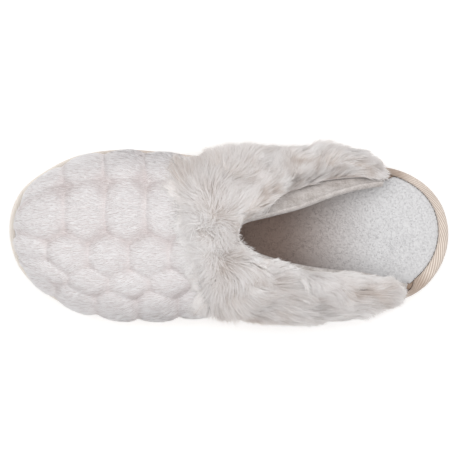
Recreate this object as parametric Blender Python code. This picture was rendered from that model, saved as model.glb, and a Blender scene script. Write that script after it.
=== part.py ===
"""A scuff slipper for the left foot: a hollow quilted upper with a fur collar on a bound sole.

The frame has +X from heel to toe, +Y to the outer (little toe) side and +Z up. The origin is on the
floor under the middle of the heel tread. Sizes are in millimetres and angles in degrees; a mesh is
turned into metres as it is made.
"""

import math

import bmesh
import bpy
import numpy as np


def columns(names, *rows):
    """A short table as one array for each named column."""
    return dict(zip(names.split(), np.array(rows, float).T))


MM = 0.001
GAP = 0.3  # between neighbouring pieces

# The sole in plan
LENGTH = 262.0  # over the bound rim
HEEL_WIDTH = 83.0
BALL_WIDTH = 100.5
HEEL_CENTRE = 0.145  # of the length, from the heel's back to the origin
# Half widths are shares of the width that rules there: the heel's, then the ball's.
SOLE_EDGE = columns(
    "along medial lateral",
    (0.000, 0.000, 0.000),
    (0.019, 0.232, 0.234),
    (0.060, 0.376, 0.392),
    (0.115, 0.464, 0.479),
    (0.200, 0.499, 0.511),
    (0.300, 0.503, 0.514),
    (0.406, 0.485, 0.499),
    (0.520, 0.471, 0.484),
    (0.620, 0.483, 0.489),
    (0.737, 0.504, 0.497),
    (0.853, 0.461, 0.440),
    (0.921, 0.371, 0.344),
    (0.976, 0.247, 0.199),
    (1.000, 0.033, -0.033),
)
WIDTH_CHANGE = (0.30, 0.65)  # along: the heel's width rules before it, the ball's after it
HALF = 40  # steps from the heel's back to the toe on each side of every ring
EDGE_STEPS = 2 * HALF

# The outsole
OUTSOLE_THICKNESS = 7.0
OUTSOLE_SETBACK = 1.0  # inside the bound rim
TREAD_ROUNDING = 1.8
SIDE_GROOVE = 0.9
# The outsole's side from the tread up: how much of the rounding and of the groove each level has
OUTSOLE_SECTION = columns(
    "rounding groove height",
    (1.0, 0.0, 0.00),
    (0.2, 0.0, 0.24),
    (0.0, 0.0, 0.46),
    (0.0, 1.0, 0.58),
    (0.0, 0.0, 0.70),
    (0.0, 0.0, 1.00),
)
WAIST_ARCH = 1.6
WAIST = (0.27, 0.50)  # along
TOE_SPRING = 6.0
SPRING_START = 0.72  # along
LUG_PITCH = 10.0
GROOVE_WIDTH = 3.0
GROOVE_DEPTH = 1.4
GROOVE_MARGIN = 9.0  # plain border between a groove and the sole's edge
GROOVE_SWEEP = 14.0  # degrees that each half of a groove runs back from the middle
HEEL_GROOVES = (-3, 3)  # in lug pitches from the origin
FOREFOOT_CENTRE = 0.61  # along
FOREFOOT_GROOVES = (-2, 8)  # in lug pitches from the forefoot's centre

# The bound rim, whose width is the wall's beside the upper and its own round the heel
RIM_HEIGHT = 13.0
RIM_HEEL_WIDTH = 6.0
RIM_HEEL_SHIFT = 1.9  # wider on the outer side, narrower on the inner
RIM_UPPER_WIDTH = 3.7
RIM_CHANGE = 9.0  # length of the change behind each wing of the upper
# The rim's section, from its inner foot round the outside, in shares of its width and height
RIM_SECTION = columns(
    "inset height",
    (1.00, 0.00),
    (0.20, 0.00),
    (0.00, 0.16),
    (0.00, 0.76),
    (0.16, 0.94),
    (0.50, 1.00),
    (1.00, 0.93),
)

# The padded insole, in shares of its crown beyond its side
INSOLE_SIDE = 11.6
INSOLE_CROWN = 2.4
INSOLE_SECTION = columns(
    "inset crown",
    (0.00, 0.00),
    (1.60, 0.55),
    (6.00, 0.85),
    (16.0, 1.00),
)

# The upper, from the feather line in the slot beside the insole to the topline
WALL = 3.7
THROAT_RISE = 45.0  # of the topline's highest point over the rim
BELLY = 2.6
BELLY_TOP = 0.8  # share of a section's height where its belly ends
LATERAL_WING = 0.088  # along: where each side of the upper ends at the heel
MEDIAL_WING = 0.150
# A row for each section round the upper, by its foot on the sole's edge (side +1 is lateral). Its top
# is given along and across the sole, and in height by the throat's rise. The cap is the share of its
# run that the rounded lower part takes, the rise the share of its height that is left to the straight
# slope, the cuff the share of the fur's depth, the edge the share of the wall that the fur covers.
UPPER_SECTIONS = columns(
    "side foot_along top_along top_across top_height cap rise belly cuff edge",
    (+1, LATERAL_WING, 0.098, 0.395, 0.13, 1.00, 0.60, 0.0, 0.50, 1.00),
    (+1, 0.140, 0.136, 0.345, 0.26, 1.00, 0.60, 0.0, 0.95, 1.00),
    (+1, 0.210, 0.200, 0.297, 0.41, 1.00, 0.60, 0.1, 1.05, 1.00),
    (+1, 0.300, 0.282, 0.276, 0.58, 0.95, 0.60, 0.3, 1.05, 1.00),
    (+1, 0.400, 0.352, 0.236, 0.75, 0.75, 0.55, 0.6, 0.95, 1.00),
    (+1, 0.520, 0.425, 0.160, 0.89, 0.50, 0.48, 1.0, 0.85, 1.00),
    (+1, 0.720, 0.468, 0.085, 0.98, 0.36, 0.45, 1.0, 0.80, 1.00),
    (+1, 0.900, 0.480, 0.047, 1.00, 0.28, 0.48, 0.3, 0.80, 1.00),
    (+1, 1.000, 0.483, 0.010, 1.00, 0.25, 0.50, -0.6, 0.80, 1.00),
    (-1, 0.900, 0.479, -0.050, 1.00, 0.28, 0.48, -0.4, 0.80, 1.00),
    (-1, 0.720, 0.464, -0.094, 0.97, 0.36, 0.45, -0.1, 0.80, 1.00),
    (-1, 0.520, 0.405, -0.150, 0.87, 0.50, 0.48, 0.0, 0.85, 0.93),
    (-1, 0.400, 0.338, -0.213, 0.71, 0.75, 0.55, 0.0, 0.95, 0.72),
    (-1, 0.300, 0.268, -0.298, 0.54, 0.95, 0.60, 0.0, 1.05, 0.60),
    (-1, 0.210, 0.203, -0.355, 0.39, 1.00, 0.60, 0.0, 0.95, 0.64),
    (-1, MEDIAL_WING, 0.150, -0.380, 0.26, 1.00, 0.60, 0.0, 0.60, 0.72),
)
OUTER_ROWS = 18  # from the rim's top to the cuff
CUFF_ROWS = 3  # under the cuff
LINING_ROWS = 7
LINING_CROWDING = 1.7  # how much closer the lining's rows stand near the sole
STRAIGHT_SIDES = (0.20, 0.46)  # along: sections stand at every other edge point here, else at each

# The quilted puffs of the vamp: a row for each line of puffs, with its place and half width as shares
# of the sole's half width (medial is negative) and its foremost puff as a share of the length
PUFF_HEIGHT = 5.0
PUFF_PITCH = 24.0
PUFF_REACH = 12.8  # half the length of one puff
PUFF_ROWS = columns(
    "across half_width foremost",
    (-0.82, 0.28, 0.916),
    (-0.29, 0.30, 1.004),
    (0.25, 0.27, 0.950),
    (0.57, 0.19, 0.904),
    (0.88, 0.20, 0.932),
)
PUFF_COUNT = 6
PUFF_START = (1.5, 9.0)  # over the rim: the puffs rise between these
PUFF_END = (0.86, 0.99)  # of the way up to the cuff: they die out between these

# The fur cuff: its front edge across the vamp, in shares of length and half width
FUR_DEPTH = 12.5
CUFF_FRONT = columns(
    "across along",
    (-1.10, 0.545),
    (-0.45, 0.600),
    (0.20, 0.574),
    (1.10, 0.526),
)
CUFF_CLEARANCE = 2.0  # of the cuff over the rim
CUFF_SEAT = 2 * GAP  # between the points of the cuff and of the wall, whose flats come closer
CUFF_OVERHANG = 3.6
CUFF_LIP = 1.6
CUFF_END = 12.0  # length of the rounding at the ends of the cuff
CUFF_BLUNTNESS = 1.5  # how far into that rounding the ends are cut off
# The cuff's section beyond its inner face, from the topline back to its front edge: the place as a
# share of the covered wall and the depth as a share of the fur's
CUFF_SECTION = columns(
    "place depth",
    (0.94, 0.92),
    (0.78, 1.00),
    (0.58, 1.00),
    (0.38, 0.97),
    (0.18, 0.86),
    (0.04, 0.60),
)
# Its nose over the topline: the overhang as a share of its reach, and the depth as above
CUFF_NOSE = columns(
    "reach depth",
    (0.70, 0.10),
    (1.00, 0.42),
    (0.60, 0.76),
)

# The locks of fur on the cuff
LOCK_LENGTH = 24.0
LOCK_WIDTH = 12.0
LOCK_THICKNESS = 6.0
LOCK_LIFT = 1.6
LOCK_SIDES = 4
LOCK_SPACING = 17.0
LOCK_ROOT = 0.94  # share of the fur's depth at which the locks lie
# One lock from its root: how far along it, its width, and its height over the fur as shares of its own
LOCK_SPINE = columns(
    "reach width lift",
    (0.00, 0.55, -0.45),
    (0.30, 1.00, 0.00),
    (0.68, 0.72, 0.35),
    (1.00, 0.00, 0.50),
)
# Lines of locks by their share of the covered wall, and how far each turns from the way down the wall
# (0) to the way back along it (1)
LOCK_LINES = columns(
    "place turn",
    (0.90, 0.80),
    (0.68, 0.66),
    (0.46, 0.58),
    (0.26, 0.52),
)


def smooth(at, places, values):
    """Reads, at the given places, the smooth curve through a column of values."""
    slopes = np.gradient(values, places)
    first = np.clip(np.searchsorted(places, at) - 1, 0, len(places) - 2)
    step = places[first + 1] - places[first]
    t = (at - places[first]) / step
    start = values[first] * (1 + 2 * t) + slopes[first] * step * t
    end = values[first + 1] * (3 - 2 * t) + slopes[first + 1] * step * (t - 1)
    return start * (1 - t) ** 2 + end * t**2


def ramp(value, low, high):
    """0 up to low, 1 from high on, and a smooth S between them."""
    t = np.clip((value - low) / (high - low), 0, 1)
    return t * t * (3 - 2 * t)


def along_of(x):
    """The share of the length at a place x."""
    return x / LENGTH + HEEL_CENTRE


def ruling_width(along):
    return HEEL_WIDTH + (BALL_WIDTH - HEEL_WIDTH) * ramp(along, *WIDTH_CHANGE)


def half_width(along, side):
    """The sole's half width on one side. Its stations crowd towards both ends, where it is round."""
    along = np.clip(along, 0, 1)
    station = np.arccos(1 - 2 * along)
    stations = np.arccos(1 - 2 * SOLE_EDGE["along"])
    share = np.where(
        side > 0,
        smooth(station, stations, SOLE_EDGE["lateral"]),
        smooth(station, stations, SOLE_EDGE["medial"]),
    )
    return ruling_width(along) * share


def evenly(points, count):
    """count + 1 points at equal steps along a line of points."""
    steps = np.linalg.norm(np.diff(points, axis=0), axis=1)
    run = np.concatenate([[0], np.cumsum(steps)])
    at = np.linspace(0, run[-1], count + 1)
    return np.column_stack([np.interp(at, run, axis) for axis in points.T])


def sole_edge():
    """The sole's edge and its outward normals, from the heel's back past the lateral side to the toe
    and back along the medial side."""
    along = (1 - np.cos(np.linspace(0, math.pi, 400))) / 2
    x = (along - HEEL_CENTRE) * LENGTH
    lateral = evenly(np.column_stack([x, half_width(along, 1)]), HALF)
    medial = evenly(np.column_stack([x, -half_width(along, -1)]), HALF)
    edge = np.concatenate([lateral, medial[-2:0:-1]])
    ahead = np.roll(edge, -1, axis=0) - np.roll(edge, 1, axis=0)
    ahead /= np.linalg.norm(ahead, axis=1)[:, None]
    return edge, np.column_stack([-ahead[:, 1], ahead[:, 0]])


EDGE, EDGE_OUT = sole_edge()
EDGE_LATERAL = along_of(EDGE[: HALF + 1, 0])
EDGE_MEDIAL = along_of(np.concatenate([EDGE[HALF:, 0], EDGE[:1, 0]]))[::-1]


def edge_place(along, side):
    """The place on the sole's edge, in edge steps, of a share of the length on one side."""
    lateral = np.interp(along, EDGE_LATERAL, np.arange(HALF + 1))
    medial = EDGE_STEPS - np.interp(along, EDGE_MEDIAL, np.arange(HALF + 1))
    return np.where(side > 0, lateral, medial)


def edge_at(places):
    """Points and normals at places on the sole's edge, which may lie between its points."""
    first = np.floor(places).astype(int)
    part = (places - first)[:, None]
    near, far = first % EDGE_STEPS, (first + 1) % EDGE_STEPS
    return EDGE[near] * (1 - part) + EDGE[far] * part, EDGE_OUT[near] * (1 - part) + EDGE_OUT[far] * part


def spring(x):
    """How far the toe spring lifts everything at x."""
    return TOE_SPRING * (np.clip(along_of(x) - SPRING_START, 0, None) / (1 - SPRING_START)) ** 2


def waist(x):
    """1 in the middle of the waist, 0 at the flats of the heel and the forefoot."""
    share = np.clip((along_of(x) - WAIST[0]) / (WAIST[1] - WAIST[0]), 0, 1)
    return np.sin(math.pi * share) ** 2


def ring(inset, height):
    """The sole's edge moved in and up, with the toe spring."""
    flat = EDGE - EDGE_OUT * np.broadcast_to(inset, EDGE_STEPS)[:, None]
    return np.column_stack([flat, height + spring(flat[:, 0])])


def tube_faces(rings, size, closed):
    """Faces between rings of equal size, and from the last ring to the first where the tube closes."""
    faces = []
    for r in range(rings if closed else rings - 1):
        low, high = r * size, (r + 1) % rings * size
        for k in range(size):
            n = (k + 1) % size
            faces += [(low + k, low + n, high + n), (low + k, high + n, high + k)]
    return faces


def rung_faces(start):
    """Faces that span one ring from side to side, heel to toe."""
    faces = []
    for k in range(HALF):
        corners = [k, k + 1, EDGE_STEPS - k - 1, (EDGE_STEPS - k) % EDGE_STEPS]
        faces.append(tuple(start + c for c in dict.fromkeys(corners)))
    return faces


def mesh_object(name, points, faces, collection, material=None):
    """One closed body from points in millimetres, facing outward."""
    mesh = bpy.data.meshes.new(name)
    mesh.from_pydata((np.asarray(points) * MM).tolist(), [], faces)
    shape = bmesh.new()
    shape.from_mesh(mesh)
    bmesh.ops.recalc_face_normals(shape, faces=shape.faces)
    shape.to_mesh(mesh)
    shape.free()
    obj = bpy.data.objects.new(name, mesh)
    collection.objects.link(obj)
    if material:
        mesh.materials.append(material)
        mesh.shade_smooth()
        mesh.set_sharp_from_angle(angle=math.radians(50))
    else:
        obj.hide_render = True
        obj.display_type = "WIRE"
    return obj


def join(obj, other, operation):
    """Cuts another body out of an object, or fuses it on."""
    modifier = obj.modifiers.new(other.name, "BOOLEAN")
    modifier.operation = operation
    modifier.solver = "EXACT"
    modifier.use_self = operation == "UNION"
    modifier.object = other


def material(name, colour, roughness, metallic=0.0):
    made = bpy.data.materials.new(name)
    made.use_nodes = True
    shader = made.node_tree.nodes["Principled BSDF"]
    shader.inputs["Base Color"].default_value = (*colour, 1)
    shader.inputs["Roughness"].default_value = roughness
    shader.inputs["Metallic"].default_value = metallic
    return made


def rim_width():
    """The rim's width at each edge point: slim beside the upper, wide and uneven round the heel, where
    it starts to widen from the first point behind each wing."""
    lateral_end = edge_place(LATERAL_WING, 1)
    medial_end = edge_place(MEDIAL_WING, -1)
    place = np.arange(EDGE_STEPS)
    step = np.linalg.norm(EDGE[1] - EDGE[0])
    behind = (np.maximum(lateral_end - place, place - medial_end) - 1) * step
    side = EDGE[:, 1] / (HEEL_WIDTH / 2)
    heel = RIM_HEEL_WIDTH + RIM_HEEL_SHIFT * np.clip(side, -1, 1)
    share = ramp(behind, 0, RIM_CHANGE)
    return RIM_UPPER_WIDTH + (heel - RIM_UPPER_WIDTH) * share, share


RIM_WIDTH, HEEL_SHARE = rim_width()
SLOT = GAP + WALL  # what the upper's wall takes between the rim and the insole
RIM_FOOT = OUTSOLE_THICKNESS + GAP
RIM_TOP = RIM_FOOT + RIM_HEIGHT
SLOT_TOP = RIM_TOP + 2 * GAP


def make_outsole(parts, tools, rubber):
    """The rubber outsole: a rounded tread edge, a groove round its side, and its lugs."""
    insets = (
        OUTSOLE_SETBACK
        + TREAD_ROUNDING * OUTSOLE_SECTION["rounding"]
        + SIDE_GROOVE * OUTSOLE_SECTION["groove"]
    )
    rings = []
    for inset, height in zip(insets, OUTSOLE_SECTION["height"]):
        points = ring(inset, height * OUTSOLE_THICKNESS)
        points[:, 2] += WAIST_ARCH * waist(points[:, 0]) * (1 - height)
        rings.append(points)
    faces = tube_faces(len(rings), EDGE_STEPS, closed=False)
    faces += rung_faces(0) + rung_faces((len(rings) - 1) * EDGE_STEPS)
    outsole = mesh_object("outsole", np.concatenate(rings), faces, parts, rubber)
    join(outsole, make_grooves(tools), "DIFFERENCE")


def make_grooves(tools):
    """Chevron bars that cut the lugs, each as deep as the tread is high where it stands."""
    forefoot = (FOREFOOT_CENTRE - HEEL_CENTRE) * LENGTH
    middles = [(n + 0.5) * LUG_PITCH for n in range(*HEEL_GROOVES)]
    middles += [forefoot + (n + 0.5) * LUG_PITCH for n in range(*FOREFOOT_GROOVES)]
    points, faces = [], []
    for middle in middles:
        along = along_of(middle)
        reach = {side: float(half_width(along, side)) - GROOVE_MARGIN for side in (1, -1)}
        tread = float(spring(middle) + WAIST_ARCH * waist(middle))
        start = len(points)
        for y in (reach[1], 0.0, -reach[-1]):
            back = middle - abs(y) * math.tan(math.radians(GROOVE_SWEEP))
            for x in (back - GROOVE_WIDTH / 2, back + GROOVE_WIDTH / 2):
                z = float(spring(x) + WAIST_ARCH * waist(x))
                points += [(x, y, z - 3 * GROOVE_DEPTH), (x, y, max(z, tread) + GROOVE_DEPTH)]
        faces += [tuple(start + c for c in face) for face in bar_faces()]
    return mesh_object("lug_grooves", points, faces, tools)


def bar_faces():
    """Faces of a bar with two straight halves: three stations of four corners."""
    faces = [(0, 1, 3, 2), (8, 9, 11, 10)]
    for s in (0, 4):
        faces += [
            (s, s + 2, s + 6, s + 4),
            (s + 1, s + 3, s + 7, s + 5),
            (s, s + 1, s + 5, s + 4),
            (s + 2, s + 3, s + 7, s + 6),
        ]
    return faces


def make_rim(parts, tape):
    """The bound rim: one ring whose section is read from its table."""
    rings = [
        ring(inset * RIM_WIDTH, RIM_FOOT + height * RIM_HEIGHT)
        for inset, height in zip(RIM_SECTION["inset"], RIM_SECTION["height"])
    ]
    faces = tube_faces(len(rings), EDGE_STEPS, closed=True)
    mesh_object("bound_rim", np.concatenate(rings), faces, parts, tape)


def insole_inset():
    """How far the insole's side stands inside the sole's edge: past the rim, and past the upper."""
    beside_upper = RIM_UPPER_WIDTH + SLOT
    return GAP + RIM_WIDTH * HEEL_SHARE + beside_upper * (1 - HEEL_SHARE)


def make_insole(parts, plush):
    """The padded insole, with a soft crown."""
    inset = insole_inset()
    rings = [ring(inset, RIM_FOOT)]
    for step, crown in zip(INSOLE_SECTION["inset"], INSOLE_SECTION["crown"]):
        rings.append(ring(inset + step, RIM_FOOT + INSOLE_SIDE + crown * INSOLE_CROWN))
    faces = tube_faces(len(rings), EDGE_STEPS, closed=False)
    faces += rung_faces(0) + rung_faces((len(rings) - 1) * EDGE_STEPS)
    mesh_object("insole", np.concatenate(rings), faces, parts, plush)


def section_places():
    """Where the upper's sections stand on the sole's edge, from the lateral wing to the medial one."""
    first, last = edge_place(LATERAL_WING, 1), edge_place(MEDIAL_WING, -1)
    inside = np.arange(math.ceil(first + 0.4), math.ceil(last - 0.4))
    along = along_of(EDGE[inside, 0])
    straight = (along > STRAIGHT_SIDES[0]) & (along < STRAIGHT_SIDES[1])
    return np.array([first, *inside[~straight | (inside % 2 == 0)], last])


def section_values(places, name):
    """One column of the upper's sections, read at places on the sole's edge."""
    at = edge_place(UPPER_SECTIONS["foot_along"], UPPER_SECTIONS["side"])
    return smooth(places, at, UPPER_SECTIONS[name])


def upper_curves(places, steps=60):
    """The outside of the upper before it is quilted: for each place a curve of points, straight up
    out of the slot beside the rim, round the lower part and up the slope to the topline."""
    edge, out = edge_at(places)
    foot = edge - out * (RIM_UPPER_WIDTH + GAP)
    top_along = section_values(places, "top_along")
    top = np.column_stack([
        (top_along - HEEL_CENTRE) * LENGTH,
        section_values(places, "top_across") * ruling_width(top_along),
    ])
    rise = THROAT_RISE * section_values(places, "top_height")[:, None]
    cap = section_values(places, "cap")[:, None]
    slope = section_values(places, "rise")[:, None]
    belly = BELLY * section_values(places, "belly")[:, None, None]
    turn = np.linspace(0, 1, steps) * math.pi / 2
    run = cap * (1 - np.cos(turn))
    arc = np.broadcast_to(np.sin(turn), run.shape)
    rest = np.linspace(0, 1, steps)[1:] * (1 - cap)
    run = np.concatenate([run, cap + rest], axis=1)
    arc = np.concatenate([arc, np.ones_like(rest)], axis=1)
    high = (1 - slope) * arc + slope * run
    full = np.sin(math.pi * np.clip(high / BELLY_TOP, 0, 1))[..., None]
    flat = foot[:, None] + (top - foot)[:, None] * run[..., None] + out[:, None] * belly * full
    lifted = SLOT_TOP + rise * high
    shaped = np.concatenate([flat, (lifted + spring(flat[..., 0]))[..., None]], axis=2)
    base = shaped[:, :1].copy()
    base[:, 0, 2] = RIM_FOOT + spring(base[:, 0, 0])
    upright = base + (shaped[:, :1] - base) * np.linspace(0, 1, steps // 4)[None, :-1, None]
    return np.concatenate([upright, shaped], axis=1)


def read_curves(curves, shares):
    """Points at shares of the length of each curve. Shares has one row for each curve."""
    return np.array([
        [np.interp(share, run, axis) for axis in curve.T]
        for curve, run, share in zip(curves, run_shares(curves), shares)
    ]).transpose(0, 2, 1)


def run_shares(curves):
    """How far along each curve its points stand, as shares of its length."""
    steps = np.linalg.norm(np.diff(curves, axis=1), axis=2)
    run = np.concatenate([np.zeros((len(curves), 1)), np.cumsum(steps, axis=1)], axis=1)
    return run / run[:, -1:]


def shares_over_rim(curves, over):
    """The share of each curve where it first stands this far over the top of the slot."""
    height = curves[..., 2] - spring(curves[..., 0])
    first = np.argmax(height > SLOT_TOP + over, axis=1)
    return run_shares(curves)[np.arange(len(curves)), first][:, None]


def outward(places, curves, steps=60):
    """Unit normals facing out of the shoe, at even shares of each section: the sole edge's own in the
    slot, and the surface's over it."""
    grid = read_curves(curves, np.tile(np.linspace(0, 1, steps), (len(places), 1)))
    normal = np.cross(np.gradient(grid, axis=1), np.gradient(grid, axis=0))
    normal /= np.linalg.norm(normal, axis=2)[..., None]
    edge_out = np.column_stack([edge_at(places)[1], np.zeros(len(places))])
    in_slot = grid[..., 2] - spring(grid[..., 0]) < SLOT_TOP
    return np.where(in_slot[..., None], edge_out[:, None], normal)


def cuff_shares(curves):
    """For each section, the share of its curve where the cuff starts: at the cuff's front line across
    the vamp, or just over the rim on the wings."""
    along = along_of(curves[..., 0])
    side = np.where(curves[..., 1] > 0, 1, -1)
    across = curves[..., 1] / half_width(along, side)
    front = smooth(np.clip(across, -1.1, 1.1), CUFF_FRONT["across"], CUFF_FRONT["along"])
    first = np.argmax(along < front, axis=1)
    at_front = run_shares(curves)[np.arange(len(curves)), first][:, None]
    return np.maximum(at_front, shares_over_rim(curves, CUFF_CLEARANCE))


def puff_relief(points):
    """How far the quilting stands proud at points of the vamp."""
    x, y = points[..., 0], points[..., 1]
    side = np.where(y > 0, 1, -1)
    across = y / half_width(along_of(x), side)
    relief = np.zeros(x.shape)
    rows = zip(PUFF_ROWS["across"], PUFF_ROWS["half_width"], PUFF_ROWS["foremost"])
    for middle, half, foremost in rows:
        for n in range(PUFF_COUNT):
            centre = (foremost - HEEL_CENTRE) * LENGTH - n * PUFF_PITCH
            far = ((x - centre) / PUFF_REACH) ** 2 + ((across - middle) / half) ** 2
            relief = np.maximum(relief, np.sqrt(np.clip(1 - far, 0, 1)))
    return PUFF_HEIGHT * relief


def make_upper(parts, plush):
    """The hollow upper: a wall of one thickness, quilted outside, open at the topline, the heel and
    underneath."""
    places = section_places()
    curves = upper_curves(places)
    foot = np.zeros((len(places), 1))
    slot = shares_over_rim(curves, -GAP)
    cuff = cuff_shares(curves)
    below = slot + np.linspace(0, 1, OUTER_ROWS + 1) * (cuff - slot)
    under = cuff + np.linspace(0, 1, CUFF_ROWS + 1)[1:] * (1 - cuff)
    shares = np.concatenate([foot, below, under], axis=1)
    outside = read_curves(curves, shares)
    out = outward(places, curves)
    clear_of_rim = ramp(outside[..., 2] - spring(outside[..., 0]), RIM_TOP + PUFF_START[0], RIM_TOP + PUFF_START[1])
    before_cuff = 1 - ramp(shares / cuff, *PUFF_END)
    proud = puff_relief(outside) * clear_of_rim * before_cuff
    quilted = outside + read_normals(out, shares) * proud[..., None]
    crowded = np.linspace(0, 1, LINING_ROWS + 1) ** LINING_CROWDING
    lining_shares = np.concatenate([foot, slot + crowded * (1 - slot)], axis=1)
    lining = read_curves(curves, lining_shares) - WALL * read_normals(out, lining_shares)
    sections = np.concatenate([quilted, lining[:, ::-1]], axis=1)
    shell_object("upper", sections, parts, plush)
    return places, curves, cuff, out


def read_normals(normals, shares):
    """Unit normals at shares of each section, from normals at even shares."""
    even = np.linspace(0, 1, normals.shape[1])
    read = np.array([
        [np.interp(share, even, axis) for axis in section.T]
        for section, share in zip(normals, shares)
    ]).transpose(0, 2, 1)
    return read / np.linalg.norm(read, axis=2)[..., None]


def shell_object(name, sections, parts, finish):
    """A body lofted through closed sections, with its two ends filled."""
    count, size = sections.shape[:2]
    faces = tube_faces(count, size, closed=False)
    faces += [tuple(range(size)), tuple((count - 1) * size + k for k in range(size))]
    return mesh_object(name, sections.reshape(-1, 3), faces, parts, finish)


def cuff_depth(places):
    """The fur's depth at each section, rounded off at the ends of both wings."""
    edge, _ = edge_at(places)
    run = np.concatenate([[0], np.cumsum(np.linalg.norm(np.diff(edge, axis=0), axis=1))])
    end = np.minimum(run, run[-1] - run)
    rounding = np.sqrt(1 - (1 - np.clip((end + CUFF_BLUNTNESS) / CUFF_END, 0, 1)) ** 2)
    return FUR_DEPTH * section_values(places, "cuff") * rounding


def make_collar(parts, tools, fur, upper):
    """The fur collar: a padded roll on the upper's own surface, with locks of fur fused on."""
    places, curves, cuff, out = upper
    depth = cuff_depth(places)
    edge = np.clip(section_values(places, "edge"), 0, 1)[:, None]
    top = cuff + (1 - cuff) * edge
    inner_shares = cuff + np.linspace(0, 1, CUFF_ROWS + 1)[None] * (top - cuff)
    inner = read_curves(curves, inner_shares)
    inner_out = read_normals(out, inner_shares)
    ahead = outside_tangent(curves, top)
    reach = (CUFF_LIP + (CUFF_OVERHANG - CUFF_LIP) * (edge > 0.98))[..., None]
    depths = depth[:, None, None]
    nose = (
        inner[:, -1:]
        + ahead * reach * CUFF_NOSE["reach"][:, None]
        + inner_out[:, -1:] * (GAP + depths * CUFF_NOSE["depth"][:, None])
    )
    outer_shares = cuff + CUFF_SECTION["place"][None] * (top - cuff)
    outer = read_curves(curves, outer_shares)
    outer_out = read_normals(out, outer_shares)
    outer = outer + outer_out * CUFF_SECTION["depth"][None, :, None] * depths
    inner = inner + inner_out * CUFF_SEAT
    sections = np.concatenate([inner, nose, outer], axis=1)
    collar = shell_object("fur_collar", sections, parts, fur)
    join(collar, make_locks(tools, upper, depth, top), "UNION")


def outside_tangent(curves, shares):
    """The way up the wall at one share of each section."""
    low = read_curves(curves, np.clip(shares - 0.03, 0, 1))
    high = read_curves(curves, np.clip(shares + 0.01, 0, 1))
    step = high - low
    return step / np.linalg.norm(step, axis=2)[..., None]


def make_locks(tools, upper, depth, top):
    """Tapered locks in staggered lines over the cuff, swept back and down from the throat."""
    places, curves, cuff, out = upper
    points, faces = [], []
    for line, (share, turn) in enumerate(zip(LOCK_LINES["place"], LOCK_LINES["turn"])):
        shares = cuff + share * (top - cuff)
        roots = read_curves(curves, shares)[:, 0]
        normals = read_normals(out, shares)[:, 0]
        up = outside_tangent(curves, shares)[:, 0]
        run = np.concatenate([[0], np.cumsum(np.linalg.norm(np.diff(roots, axis=0), axis=1))])
        count = int((run[-1] - 2 * CUFF_END) / LOCK_SPACING)
        offset = CUFF_END + (0.5 * (line % 2) + 0.25) * LOCK_SPACING
        for at in offset + LOCK_SPACING * np.arange(count):
            root, normal, way = (
                np.array([np.interp(at, run, axis) for axis in field.T]) for field in (roots, normals, up)
            )
            add_lock(points, faces, root, normal, way, turn, np.interp(at, run, depth))
    return mesh_object("fur_locks", points, faces, tools)


def add_lock(points, faces, root, normal, way, turn, depth):
    """One lock: a flattened, tapered horn that lies on the fur and lifts at its tip."""
    normal = normal / np.linalg.norm(normal)
    backward = np.array([-1.0, 0.0, 0.0]) - normal * -normal[0]
    lie = -way * (1 - turn) + backward * turn
    lie -= normal * (lie @ normal)
    lie /= np.linalg.norm(lie)
    aside = np.cross(normal, lie)
    middles = (
        root
        + normal * (depth * LOCK_ROOT + LOCK_SPINE["lift"] * LOCK_LIFT)[:, None]
        + lie * LOCK_SPINE["reach"][:, None] * LOCK_LENGTH
    )
    start = len(points)
    for middle, width in zip(middles[:-1], LOCK_SPINE["width"]):
        for k in range(LOCK_SIDES):
            angle = 2 * math.pi * k / LOCK_SIDES
            broad = aside * math.cos(angle) * LOCK_WIDTH / 2
            thick = normal * math.sin(angle) * LOCK_THICKNESS / 2
            points.append(middle + (broad + thick) * width)
    points.append(middles[-1])
    size = LOCK_SIDES
    rings = len(middles) - 1
    faces.append(tuple(start + k for k in range(size)))
    faces += [tuple(start + c for c in face) for face in tube_faces(rings, size, closed=False)]
    last = start + (rings - 1) * size
    faces += [(last + k, last + (k + 1) % size, len(points) - 1) for k in range(size)]


def main():
    for obj in list(bpy.data.objects):
        bpy.data.objects.remove(obj)
    parts = bpy.data.collections.new("scuff_slipper")
    tools = bpy.data.collections.new("cutters")
    for collection in (parts, tools):
        bpy.context.scene.collection.children.link(collection)
    rubber = material("outsole_rubber", (0.42, 0.36, 0.30), 0.75)
    tape = material("woven_tape", (0.72, 0.55, 0.42), 0.85)
    insole_plush = material("insole_plush", (0.74, 0.70, 0.69), 0.95)
    upper_plush = material("puffed_plush", (0.82, 0.79, 0.79), 0.95)
    fur = material("long_fur", (0.73, 0.67, 0.64), 0.9)
    make_outsole(parts, tools, rubber)
    make_rim(parts, tape)
    make_insole(parts, insole_plush)
    upper = make_upper(parts, upper_plush)
    make_collar(parts, tools, fur, upper)


main()
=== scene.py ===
"""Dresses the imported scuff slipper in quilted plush, long fur, a lining, bound tape and rubber.

The frame has +X from heel to toe, +Y to the outer side of this left shoe and +Z up, with the
origin on the floor under the heel. Shapes are worked out in millimetres, as in the part's source,
and each mesh is turned into metres as it is made.
"""

import math
from functools import lru_cache

import bmesh
import bpy
import numpy as np
from bpy.props import FloatProperty, FloatVectorProperty, IntProperty, PointerProperty
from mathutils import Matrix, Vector
from mathutils.bvhtree import BVHTree
from mathutils.kdtree import KDTree


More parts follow.
